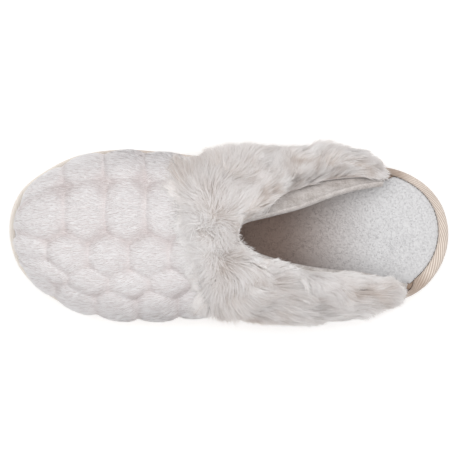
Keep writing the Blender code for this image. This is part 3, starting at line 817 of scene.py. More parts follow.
def object_parts(tree):
    """The place on the object, in metres along its axes."""
    place = node(tree, "ShaderNodeTexCoord")
    return node(tree, "ShaderNodeSeparateXYZ", {0: place.outputs["Object"]}).outputs


def surfaced(tree, shader, colour, height, strength, distance):
    """Gives a shader its colour and its relief."""
    relief = node(
        tree, "ShaderNodeBump", {"Height": height, "Strength": strength, "Distance": distance}
    )
    tree.links.new(colour, shader.inputs["Base Color"])
    tree.links.new(relief.outputs[0], shader.inputs["Normal"])


COLOUR, NUMBER = "NodeSocketColor", "NodeSocketFloat"


@lru_cache(None)
def nap_group():
    """Nap: the mottle and the fine grain of a short pile, as a colour and a height."""
    tree, given, result = group(
        "nap",
        [
            ("Light", COLOUR, (0.8, 0.8, 0.8, 1)),
            ("Shade", COLOUR, (0.6, 0.6, 0.6, 1)),
            ("Mottle", NUMBER, 60.0),
            ("Grain", NUMBER, 900.0),
            ("Stretch", NUMBER, 1.0),
        ],
        [("Colour", COLOUR), ("Height", NUMBER)],
    )
    place = node(tree, "ShaderNodeTexCoord")
    stretch = node(tree, "ShaderNodeCombineXYZ", {0: given.outputs["Stretch"], 1: 1.0, 2: 1.0})
    laid = node(
        tree, "ShaderNodeVectorMath", {0: place.outputs["Object"], 1: stretch.outputs[0]},
        operation="MULTIPLY",
    )
    broad = node(
        tree, "ShaderNodeTexNoise",
        {"Vector": laid.outputs[0], "Scale": given.outputs["Mottle"], "Detail": 4.0},
    )
    fine = node(
        tree, "ShaderNodeTexNoise",
        {"Vector": laid.outputs[0], "Scale": given.outputs["Grain"], "Detail": 3.0},
    )
    grain = reckoned(tree, "MULTIPLY", fine.outputs[0], 0.45)
    both = reckoned(tree, "MULTIPLY_ADD", broad.outputs[0], 0.55, grain)
    spread = ranged(tree, both, 0.32, 0.62)
    colour = blend_colours(tree, spread, given.outputs["Shade"], given.outputs["Light"])
    tree.links.new(colour, result.inputs["Colour"])
    tree.links.new(both, result.inputs["Height"])
    return tree


@lru_cache(None)
def hair_group():
    """Hair: the colour of a hair from its map, root to tip and by its tone."""
    tree, given, result = group(
        "hair",
        [
            ("Root", COLOUR, (0.5, 0.5, 0.5, 1)),
            ("Tip", COLOUR, (0.8, 0.8, 0.8, 1)),
            ("Shade", COLOUR, (0.6, 0.6, 0.6, 1)),
            ("Root Length", NUMBER, 0.5),
        ],
        [("Colour", COLOUR)],
    )
    tone, up, _ = map_parts(tree, "OFBake")
    rise = ranged(tree, up, 0.0, given.outputs["Root Length"])
    toned = blend_colours(tree, tone, given.outputs["Shade"], given.outputs["Tip"])
    dark = ranged(tree, tone, 0.0, 0.35)
    toned = blend_colours(tree, dark, given.outputs["Root"], toned)
    pale = ranged(tree, tone, 0.6, 0.95, end=0.85)
    root = blend_colours(tree, pale, given.outputs["Root"], toned)
    colour = blend_colours(tree, rise, root, toned)
    tree.links.new(colour, result.inputs["Colour"])
    return tree


def finish(name, colour, roughness, sheen=0.0, specular=0.3):
    """A material with its shader, and with the constants set on the shader's own sockets."""
    made = bpy.data.materials.new(name)
    made.use_nodes = True
    shader = made.node_tree.nodes["Principled BSDF"]
    shader.inputs["Base Color"].default_value = (*colour, 1)
    shader.inputs["Roughness"].default_value = roughness
    shader.inputs["Specular IOR Level"].default_value = specular
    shader.inputs["Sheen Weight"].default_value = sheen
    shader.inputs["Sheen Roughness"].default_value = 0.5
    return made, made.node_tree, shader


def placed(tree, shared, values):
    """A shared group placed in a material with the material's own values."""
    made = node(tree, "ShaderNodeGroup", node_tree=shared)
    for label, value in values.items():
        made.inputs[label].default_value = (*value, 1) if hasattr(value, "__len__") else value
    return made


def scaled(colour, share):
    return [c * share for c in colour]


def plush_finish(name, light, shade, bump, mottle, grain, sheen=0.3, stretch=1.0, crease=None):
    made, tree, shader = finish(name, light, 0.9, sheen=sheen, specular=0.15)
    values = {
        "Light": light, "Shade": shade, "Mottle": mottle, "Grain": grain, "Stretch": stretch
    }
    nap = placed(tree, nap_group(), values)
    colour = nap.outputs["Colour"]
    # painted shade in the creases, read from the relief map
    if crease is not None:
        rise = ranged(tree, map_parts(tree, "relief")[0], CREASE_FLOOR, 0.75)
        colour = blend_colours(tree, rise, (*crease, 1), colour)
    surfaced(tree, shader, colour, nap.outputs["Height"], 0.8, bump)
    return made


def hair_finish(name, root, tip, shade, root_length, sheen=0.25):
    made, tree, shader = finish(name, tip, 0.75, sheen=sheen, specular=0.2)
    values = {"Root": root, "Tip": tip, "Shade": shade, "Root Length": root_length}
    hair = placed(tree, hair_group(), values)
    tree.links.new(hair.outputs["Colour"], shader.inputs["Base Color"])
    return made


# Settings


def size_of(name, description, default, most=0.05):
    return FloatProperty(
        name=name, description=description, default=default, min=0.0, max=most,
        unit="LENGTH", precision=5,
    )


def colour_of(name, description, default):
    return FloatVectorProperty(
        name=name, description=description, default=default, min=0.0, max=1.0, size=3,
        subtype="COLOR",
    )


class ScuffFurSettings(bpy.types.PropertyGroup):
    length: size_of("Fur length", "Length of the hairs at the throat", 0.0165)
    width: size_of("Hair width", "Width of one ribbon of fur", 0.00023, 0.002)
    lock_size: size_of("Lock size", "Distance between neighbouring locks of fur", 0.0085)
    wisp_size: size_of("Wisp size", "Distance between the wisps within a lock", 0.0018)
    tip_colour: colour_of("Tips", "Colour of the fur at its tips", (0.892, 0.876, 0.872))
    shade_colour: colour_of("Shaded tips", "Colour of the darker hairs", (0.745, 0.696, 0.671))
    root_colour: colour_of("Roots", "Colour of the fur at its roots", (0.607, 0.529, 0.482))
    seed: IntProperty(name="Seed", description="Starts the hairs' random draws", default=7, min=0)


class ScuffUpperSettings(bpy.types.PropertyGroup):
    puff_height: size_of("Puff height", "How far the quilted puffs stand proud", 0.005)
    pile_length: size_of("Pile length", "Length of the pile on the puffs", 0.0042)
    pile_width: size_of("Pile width", "Width of one hair of the pile", 0.00026, 0.002)
    pile_colour: colour_of("Pile", "Colour of the pile at its tips", (0.89, 0.885, 0.89))
    shade_colour: colour_of("Pile shade", "Colour of the pile's darker hairs", (0.70, 0.645, 0.64))
    root_colour: colour_of("Pile roots", "Colour at the roots of the pile", (0.71, 0.655, 0.65))
    crease_shade: colour_of("Crease shade", "Shade painted on the cloth in the creases", (0.54, 0.475, 0.465))
    lining_colour: colour_of("Lining", "Colour of the lining plush", (0.63, 0.59, 0.57))
    lining_shade: colour_of("Lining shade", "Colour in the lining's hollows", (0.38, 0.34, 0.315))


class ScuffSoleSettings(bpy.types.PropertyGroup):
    ribs: IntProperty(name="Ribs", description="Ribs round the tape's section", default=27, min=3)
    rib_depth: size_of("Rib depth", "Depth of the ribs of the binding tape", 0.00035, 0.002)
    tape_colour: colour_of("Tape", "Colour of the tape's ribs", (0.80, 0.71, 0.635))
    toe_tape_light: colour_of("Painted light on the toe tape", "Paler colour painted on the tape round the toe as light", (0.95, 0.89, 0.82))
    # painted shade between the tape's ribs
    tape_shade: colour_of("Tape grooves", "Colour between the tape's ribs", (0.48, 0.385, 0.32))
    fold_colour: colour_of("Tape ends", "Colour of the tape's folded ends", (0.36, 0.265, 0.205))
    insole_colour: colour_of("Insole", "Colour of the insole's plush", (0.63, 0.624, 0.63))
    # painted light: the plush under the tufts is lifted so the shade between them reads less
    insole_gap_light: colour_of("Insole gap light", "Colour lifted as painted light between the tufts", (0.67, 0.667, 0.67))
    # painted shade on the insole under the vamp
    shaded_colour: colour_of("Insole painted shade", "Shade painted on the plush under the vamp", (0.27, 0.20, 0.17))
    insole_pile: size_of("Insole pile", "Length of the insole's pile", 0.0011)
    rubber_colour: colour_of("Rubber", "Colour of the outsole", (0.42, 0.36, 0.30))
    rubber_shade: colour_of("Rubber shade", "Colour of the rubber's mottle", (0.35, 0.295, 0.245))


class ScuffStudioSettings(bpy.types.PropertyGroup):
    floor_colour: colour_of("Floor", "Colour of the plain floor", (0.86, 0.86, 0.86))
    glow: FloatProperty(name="Glow", description="The floor's own light", default=0.3, min=0)
    sky: FloatProperty(name="Sky", description="Strength of the even light", default=0.5, min=0)
    key: FloatProperty(
        name="Key", description="Power of the large overhead light", default=40.0, min=0,
        subtype="POWER",
    )
    distance: FloatProperty(
        name="Camera distance", description="Height of the camera over the floor", default=2.6,
        min=0.5, unit="LENGTH",
    )


# Pieces


class SCUFF_OT_outsole(bpy.types.Operator):
    """Make the rubber outsole with its lugs"""

    bl_idname = "scuff.outsole"
    bl_label = "Outsole"

    def execute(self, context):
        sole = context.scene.scuff_sole
        rubber, tree, shader = finish("outsole_rubber", sole.rubber_colour, 0.62, specular=0.35)
        values = {
            "Light": sole.rubber_colour, "Shade": sole.rubber_shade,
            "Mottle": 90.0, "Grain": 1800.0, "Stretch": 1.0,
        }
        nap = placed(tree, nap_group(), values)
        surfaced(tree, shader, nap.outputs["Colour"], nap.outputs["Height"], 0.35, 0.0002)
        insets = (
            OUTSOLE_SETBACK
            + TREAD_ROUNDING * OUTSOLE_SECTION["rounding"]
            + SIDE_GROOVE * OUTSOLE_SECTION["groove"]
        )
        rings = []
        for inset, height in zip(insets, OUTSOLE_SECTION["height"]):
            points = ring(inset, height * OUTSOLE_THICKNESS)
            points[:, 2] += WAIST_ARCH * waist(points[:, 0]) * (1 - height)
            rings.append(points)
        faces = faces_between(len(rings), EDGE_STEPS, closed=False)
        faces += rung_faces(0) + rung_faces((len(rings) - 1) * EDGE_STEPS)
        obj = piece("rubber_outsole", np.concatenate(rings), faces, rubber)
        cutter = groove_bars(rubber)
        cut = obj.modifiers.new("lug_grooves", "BOOLEAN")
        cut.operation, cut.solver, cut.object = "DIFFERENCE", "EXACT", cutter
        shown = obj.evaluated_get(context.evaluated_depsgraph_get())
        mesh = bpy.data.meshes.new_from_object(shown)
        obj.modifiers.clear()
        obj.data = mesh
        mesh.set_sharp_from_angle(angle=math.radians(40))
        bpy.data.objects.remove(cutter)
        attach(obj, "root")
        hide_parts("outsole")
        return {"FINISHED"}


def groove_bars(finish_):
    """Chevron bars that cut the lugs, each as deep as the tread is high where it stands."""
    forefoot = (FOREFOOT_CENTRE - HEEL_CENTRE) * LENGTH
    middles = [(n + 0.5) * LUG_PITCH for n in range(*HEEL_GROOVES)]
    middles += [forefoot + (n + 0.5) * LUG_PITCH for n in range(*FOREFOOT_GROOVES)]
    bar = [(0, 1, 3, 2), (8, 9, 11, 10)]
    for s in (0, 4):
        bar += [(s, s + 2, s + 6, s + 4), (s + 1, s + 3, s + 7, s + 5)]
        bar += [(s, s + 1, s + 5, s + 4), (s + 2, s + 3, s + 7, s + 6)]
    points, faces = [], []
    for middle in middles:
        along = along_of(middle)
        reach = {side: float(half_width(along, side)) - GROOVE_MARGIN for side in (1, -1)}
        tread = float(spring(middle) + WAIST_ARCH * waist(middle))
        start = len(points)
        for y in (reach[1], 0.0, -reach[-1]):
            back = middle - abs(y) * math.tan(math.radians(GROOVE_SWEEP))
            for x in (back - GROOVE_WIDTH / 2, back + GROOVE_WIDTH / 2):
                z = float(spring(x) + WAIST_ARCH * waist(x))
                points += [(x, y, z - 3 * GROOVE_DEPTH), (x, y, max(z, tread) + GROOVE_DEPTH)]
        faces += [tuple(start + c for c in face) for face in bar]
    return piece("lug_grooves", points, faces, finish_)


def tape_finish(sole):
    """Twill tape: slanting ribs, laid out by the map round and along the binding."""
    made, tree, shader = finish("woven_tape", sole.tape_colour, 0.8, sheen=0.15, specular=0.25)
    round_it, along_it, _ = map_parts(tree, "weave")
    slant = reckoned(tree, "MULTIPLY", along_it, TAPE_TURNS * 2 * math.pi)
    phase = reckoned(tree, "MULTIPLY_ADD", round_it, sole.ribs * 2 * math.pi, slant)
    rib = ranged(tree, reckoned(tree, "SINE", phase), -1.0, 0.6)
    nap = placed(tree, nap_group(), {
        "Light": sole.tape_colour, "Shade": scaled(sole.tape_colour, 0.84),
        "Mottle": 120.0, "Grain": 2200.0, "Stretch": 1.0,
    })
    # painted shade in the grooves between the ribs, over their bump
    colour = blend_colours(tree, rib, (*sole.tape_shade, 1), nap.outputs["Colour"])
    top = ranged(tree, round_it, TAPE_TOP_FROM, TAPE_TOP_TO)
    # darker towards each folded end, over the top of the tape's section
    for _, wing, way in tape_ends():
        end = float((wing + way * TAPE_END_PLACE / EDGE_RUN[1]) / EDGE_STEPS)
        far = reckoned(tree, "ABSOLUTE", reckoned(tree, "SUBTRACT", along_it, end))
        reach = TAPE_END_REACH / EDGE_RUN[-1]
        close = ranged(tree, far, 0.3 * reach, reach, start=TAPE_END_SHARE, end=0.0)
        darkened = reckoned(tree, "MULTIPLY", close, top)
        colour = blend_colours(tree, darkened, colour, (*sole.fold_colour, 1))
    # painted light: the tape turns paler round the toe
    toe = ranged(tree, object_parts(tree)[0], TOE_LIGHT_FROM, TOE_LIGHT_TO, end=TOE_LIGHT_SHARE)
    colour = blend_colours(tree, toe, colour, (*sole.toe_tape_light, 1))
    height = reckoned(tree, "MULTIPLY_ADD", nap.outputs["Height"], 0.25, rib)
    surfaced(tree, shader, colour, height, 0.7, sole.rib_depth)
    return made


def tape_ends():
    """The tape's two folded ends: the name, where the wing ends and the way towards the heel."""
    return (
        ("tape_end_lateral", edge_place(LATERAL_WING, 1), -1),
        ("tape_end_medial", edge_place(MEDIAL_WING, -1), 1),
    )


def tape_end(wing, way):
    """A folded end of tape, wedged between the rim and the insole behind one wing."""
    behind = np.linspace(0.4, RIM_LAG + 0.8 * RIM_CHANGE, 14)
    places = wing + way * behind / EDGE_RUN[1]
    edge, out = edge_at(places)
    at = np.arange(EDGE_STEPS)
    near = np.interp(places, at, RIM_WIDTH) + 0.15
    far = np.interp(places, at, insole_inset()) - 0.15
    outline = np.array([(0, 0), (0, 0.9), (0.2, 1), (0.5, 0.96), (0.8, 0.98), (1, 0.88), (1, 0)])
    insets = near[:, None] + (far - near)[:, None] * outline[None, :, 0]
    flat = edge[:, None] - out[:, None] * insets[..., None]
    tall = np.broadcast_to(RIM_FOOT + 0.4 + outline[None, :, 1] * TAPE_END_HEIGHT, insets.shape)
    return np.concatenate([flat, (tall + spring(flat[..., 0]))[..., None]], axis=2)


class SCUFF_OT_binding(bpy.types.Operator):
    """Make the ribbed tape that binds the platform's edge"""

    bl_idname = "scuff.binding"
    bl_label = "Bound rim"

    def execute(self, context):
        sole = context.scene.scuff_sole
        scale = np.array([RIM_HEEL_WIDTH, RIM_HEIGHT])
        corners = np.column_stack([RIM_SECTION["inset"], RIM_SECTION["height"]])[None]
        outline = through(corners * scale, 8 * TAPE_SAMPLES, closed=True)[0]
        shares = evenly(np.concatenate([outline, outline[:1]]), TAPE_SAMPLES)[:-1] / scale
        rings = np.array([
            ring(inset * RIM_WIDTH, RIM_FOOT + height * RIM_HEIGHT)
            for inset, height in np.clip(shares, 0, 1)
        ])
        faces = faces_between(TAPE_SAMPLES, EDGE_STEPS, closed=True)
        obj = piece("tape_binding", rings.reshape(-1, 3), faces, tape_finish(sole))
        corner = np.empty(len(obj.data.loops), np.int32)
        obj.data.loops.foreach_get("vertex_index", corner)
        row, column = np.divmod(corner.reshape(-1, 4), EDGE_STEPS)
        closing = (row.max(axis=1) == TAPE_SAMPLES - 1)[:, None]
        row = np.where((row == 0) & closing, TAPE_SAMPLES, row)
        last = (column.max(axis=1) == EDGE_STEPS - 1)[:, None]
        column = np.where((column == 0) & last, EDGE_STEPS, column)
        layout = np.stack([row / TAPE_SAMPLES, column / EDGE_STEPS], axis=-1)
        obj.data.uv_layers.new(name="weave").data.foreach_set("uv", layout.ravel())
        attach(obj, "root")
        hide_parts("bound_rim")
        folded = plush_finish(
            "folded_tape", sole.fold_colour, scaled(sole.fold_colour, 0.8),
            0.0002, 160.0, 2000.0,
        )
        for name, wing, way in tape_ends():
            end = shell(name, tape_end(wing, way), folded)
            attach(end, "root")
        return {"FINISHED"}


def insole_finish(name, sole, light):
    """The insole's plush, with painted shade that turns it browner under the vamp, and painted
    light that lifts it a little deepest in.
    """
    made, tree, shader = finish(name, light, 0.9, sheen=0.2, specular=0.15)
    nap = placed(tree, nap_group(), {
        "Light": sole.insole_colour, "Shade": light,
        "Mottle": 260.0, "Grain": 1300.0, "Stretch": 1.0,
    })
    ahead = object_parts(tree)[0]
    # painted shade: browner from the heel towards the vamp, and paler again deepest in as painted
    # light
    depth = ranged(tree, ahead, SHADE_FROM, SHADE_TO, interpolation_type="SMOOTHSTEP")
    deep = ranged(tree, ahead, SHADE_TO - 0.012, SHADE_TO + 0.018)
    inside = blend_colours(
        tree, deep, (*sole.shaded_colour, 1), (*scaled(sole.shaded_colour, DEEP_GAIN), 1)
    )
    colour = blend_colours(tree, depth, nap.outputs["Colour"], inside)
    surfaced(tree, shader, colour, nap.outputs["Height"], 0.6, 0.0004)
    return made


class SCUFF_OT_insole(bpy.types.Operator):
    """Make the padded insole and its short pile"""

    bl_idname = "scuff.insole"
    bl_label = "Insole"

    def execute(self, context):
        sole = context.scene.scuff_sole
        # the base plush is lifted as painted light against the shade between the tufts
        plush = insole_finish("insole_plush", sole, sole.insole_gap_light)
        inset = insole_inset()
        rings = [ring(inset, RIM_FOOT)]
        for step, crown in zip(INSOLE_SECTION["inset"], INSOLE_SECTION["crown"]):
            rings.append(ring(inset + step, RIM_FOOT + INSOLE_SIDE + crown * INSOLE_CROWN))
        faces = faces_between(len(rings), EDGE_STEPS, closed=False)
        faces += rung_faces(0) + rung_faces((len(rings) - 1) * EDGE_STEPS)
        obj = piece("padded_insole", np.concatenate(rings), faces, plush)
        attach(obj, "root")
        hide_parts("insole")
        pile = self.pile(sole, np.array(rings[1:]))
        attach(pile, "root")
        return {"FINISHED"}

    def pile(self, sole, rings):
        """Short tufts over the part of the insole that shows behind and under the throat."""
        rng = np.random.default_rng(INSOLE_SEED)
        opposite = np.arange(HALF + 1) * -1 % EDGE_STEPS
        lateral, medial = rings[:, : HALF + 1], rings[:, opposite]
        middle = (lateral[-1:] + medial[-1:]) / 2
        grid = np.concatenate([lateral, middle, medial[::-1]])
        reach = grid[..., 0] < INSOLE_PILE_REACH
        spread = Scatter(grid, INSOLE_TUFTS, rng, weight=reach.astype(float))
        root = spread.read(grid)
        normal = np.tile([0.0, 0.0, 1.0], (len(root), 1))
        lean = np.column_stack([rng.normal(0, 1.0, (len(root), 2)), np.full(len(root), 0.25)])
        length = sole.insole_pile / MM * rng.uniform(0.6, 1.15, len(root))
        spine = strands(root, unit(0.45 * normal + lean), unit(lean), length, 3, 1.0)
        facing = unit(np.repeat((normal + 0.08 * lean)[:, None], 3, axis=1))
        tone = np.clip(rng.normal(0.6, 0.22, len(root)), 0, 1)
        hairs = insole_finish("insole_pile", sole, sole.insole_colour)
        width = np.full(len(root), INSOLE_TUFT_WIDTH)
        return ribbons(
            "insole_pile", spine, facing, width, tone, hairs, rng.uniform(-0.5, 0.5, len(root))
        )


class SCUFF_OT_upper(bpy.types.Operator):
    """Make the quilted upper with its pile, and the lining that turns over its topline"""

    bl_idname = "scuff.upper"
    bl_label = "Quilted upper"

    def execute(self, context):
        wear = context.scene.scuff_upper
        upper = upper_form()
        plush = plush_finish(
            "puffed_plush", scaled(wear.root_colour, 0.92), scaled(wear.root_colour, 0.87),
            0.0004, 120.0, 1500.0, crease=wear.crease_shade,
        )
        foot = np.zeros((SECTIONS, 1))
        below = upper.slot + np.linspace(0, 1, OUTER_ROWS + 1) * (upper.cuff - upper.slot)
        under = upper.cuff + np.linspace(0, 1, CUFF_ROWS + 1)[1:] * (1 - upper.cuff)
        shares = np.concatenate([foot, below, under], axis=1)
        outside = upper.puffed(shares, wear.puff_height / MM)
        crowded = np.linspace(0, 1, LINING_ROWS + 1) ** 1.7
        inner = np.concatenate([foot, upper.slot + crowded * (1 - upper.slot)], axis=1)
        at, out = upper.point(inner), upper.normal(inner)
        sections = np.concatenate([outside, (at - WALL / 2 * out)[:, ::-1]], axis=1)
        skin = shell("quilted_shell", sections, plush)
        dome = puff_share(sections).ravel()
        corner = np.empty(len(skin.data.loops), np.int32)
        skin.data.loops.foreach_get("vertex_index", corner)
        layout = np.column_stack([dome[corner], np.full(len(corner), 0.5)])
        skin.data.uv_layers.new(name="relief").data.foreach_set("uv", layout.ravel())
        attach(skin, "root")
        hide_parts("upper")
        lining = self.lining(wear, upper, inner, at, out)
        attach(lining, "root")
        rows = slice(1, OUTER_ROWS + 2 + PILE_ROWS_UNDER)
        self.pile(wear, shares[:, rows], outside[:, rows], upper)
        return {"FINISHED"}

    def lining(self, wear, upper, inner, at, out):
        """The inner half of the wall, turned over the topline down to the fur."""
        soft = plush_finish(
            "lining_plush", wear.lining_colour, wear.lining_shade, 0.0011, 220.0, 1100.0
        )
        inside = at - WALL * out
        top, normal = at[:, -1:], out[:, -1:]
        ahead = upper.ahead(inner[:, -1:])
        turn = np.concatenate(
            [top + normal * WALL * across + ahead * rise for across, rise in LINING_TURN], axis=1
        )
        end = np.minimum(upper.top, 0.97)
        back = 1 + np.linspace(0, 1, 7) * (end - 0.05 - 1)
        strip = upper.point(back) + upper.normal(back) * LINING_EDGE
        under = upper.point(back[:, ::-1]) + upper.normal(back[:, ::-1]) * 0.15
        lid = top + ahead * 0.3 - normal * (WALL / 2 + LINING_GAP)
        middle = (at - (WALL / 2 + LINING_GAP) * out)[:, ::-1]
        sections = np.concatenate([inside, turn, strip, under, lid, middle], axis=1)
        return shell("lining", sections, soft)

    def pile(self, wear, shares, skin, upper):
        """The puffs' own pile, combed towards the toe."""
        rng = np.random.default_rng(PILE_SEED)
        normals = grid_normals(skin, upper.normal(shares))
        open_rows = np.arange(skin.shape[1]) <= OUTER_ROWS
        weight = (open_rows | (skin[..., 0] > VAMP_FROM)).astype(float)
        spread = Scatter(skin, PILE_HAIRS, rng, weight)
        root, normal = spread.read(skin), unit(spread.read(normals))
        over = root[:, 2] - spring(root[:, 0]) - RIM_TOP
        flow = np.array([1.0, 0.0, -0.15]) + rng.normal(0, 0.11, (len(root), 3))
        flow = flow + 0.2 * wander(root, rng, 22.0)[:, None] * np.array([0, 1.0, 0])
        edge_out = np.column_stack([edge_at(upper.places)[1], np.zeros(SECTIONS)])
        out = unit(spread.read(np.repeat(edge_out[:, None], skin.shape[1], axis=1)))
        low = (1 - ramp(over, 0, 7))[:, None]
        across = np.clip((flow * out).sum(-1, keepdims=True), 0, None)
        flow = flow - out * across * low + np.array([0, 0, 0.9]) * low
        flow = unit(flow - normal * (flow * normal).sum(-1, keepdims=True))
        dome = puff_share(root)
        length = wear.pile_length / MM * rng.uniform(0.7, 1.15, len(root)) * (0.5 + 0.5 * dome)
        spine = strands(
            root, unit(0.3 * normal + flow), unit(flow + 0.06 * normal), length, 4, 0.9
        )
        wisps = rng.choice(len(root), PILE_WISPS, replace=False)
        owner = nearest(root, root[wisps])
        spine = gather(spine, owner, spine[wisps], PILE_PULL)
        tilt = rng.normal(0, 0.045, (len(wisps), 3))[owner]
        lit = (ramp(root[:, 0], 150, 190) * (1 - ramp(normal[:, 2], 0.2, 0.8)))[:, None]
        facing = np.repeat((normal + tilt + lit * np.array([0, 0, 1.1]))[:, None], 4, axis=1)
        # painted shade: the pile's tone is darker in the creases and lighter on the domes
        tone = np.clip(
            0.15 + 0.62 * ramp(dome, 0.4, 0.85) + rng.normal(0, 0.06, len(root))
            + rng.normal(0, 0.045, PILE_WISPS)[owner], 0, 1
        )
        hairs = hair_finish(
            "puff_pile", wear.root_colour, wear.pile_colour, wear.shade_colour, 0.55
        )
        width = wear.pile_width / MM * rng.uniform(0.8, 1.2, len(root))
        obj = ribbons(
            "puff_pile", spine, facing, width, tone, hairs, rng.uniform(-0.7, 0.7, len(root))
        )
        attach(obj, "root")


def roll_sections(upper, core):
    """The cuff's outside over a share of its depth, from its front edge to its nose, and the inner
    face that closes it."""
    end = wing_distance()
    cuff_end = np.where(np.arange(SECTIONS) < SECTIONS // 2, CUFF_END_LATERAL, CUFF_END_MEDIAL)
    rounding = np.sqrt(1 - (1 - np.clip((end + 0.4) / cuff_end, 0, 1)) ** 2)
    depth = FUR_DEPTH * section_values(upper.places, "cuff") * rounding * core
    depths = depth[:, None, None]
    outer_shares = upper.cuff + CUFF_SECTION["place"][None] * (upper.top - upper.cuff)
    outer = upper.point(outer_shares)
    sloped = 0.6 * ramp(upper.curves[:, :1, 0], 85, 115) * (1 - ramp(CUFF_SECTION["place"], 0, 0.5))
    foot = upper.curves[:, :1, 0]
    hung = np.where(upper.curves[:, :1, 1] < 0, 1 - ramp(foot, 98, 120), 1 - ramp(foot, 62, 88))
    eased = np.where(upper.curves[:, :1, 1] < 0, 0.5, 0.05)
    eased = eased + (1 - eased) * ramp(end[:, None], 16, 66)
    hung = WING_BULGE * hung * eased * (1 - ramp(CUFF_SECTION["place"], 0.25, 0.85))
    rows = CUFF_SECTION["depth"] * (1 - sloped) * (1 + hung)
    outer = outer + upper.normal(outer_shares) * rows[..., None] * depths
    base, out = upper.point(upper.top), upper.normal(upper.top)
    whole = (upper.edge > 0.98) * (1 - ramp(base[..., 0], 66, 82))
    reach = ((CUFF_LIP + (CUFF_OVERHANG - CUFF_LIP) * whole) * core)[..., None]
    nose = (
        base
        + upper.ahead(upper.top) * reach * CUFF_NOSE["reach"][:, None]
        + out * (CUFF_SEAT + depths * CUFF_NOSE["depth"][:, None])
    )
    rows_back = np.linspace(0, 1, CUFF_SEAT_ROWS)[None]
    inner_shares = upper.top + rows_back * (upper.cuff - upper.top)
    inner = upper.point(inner_shares) + upper.normal(inner_shares) * CUFF_SEAT
    outside = through(np.concatenate([outer, nose], axis=1), ROLL_SAMPLES)
    return outside, inner, depth / core


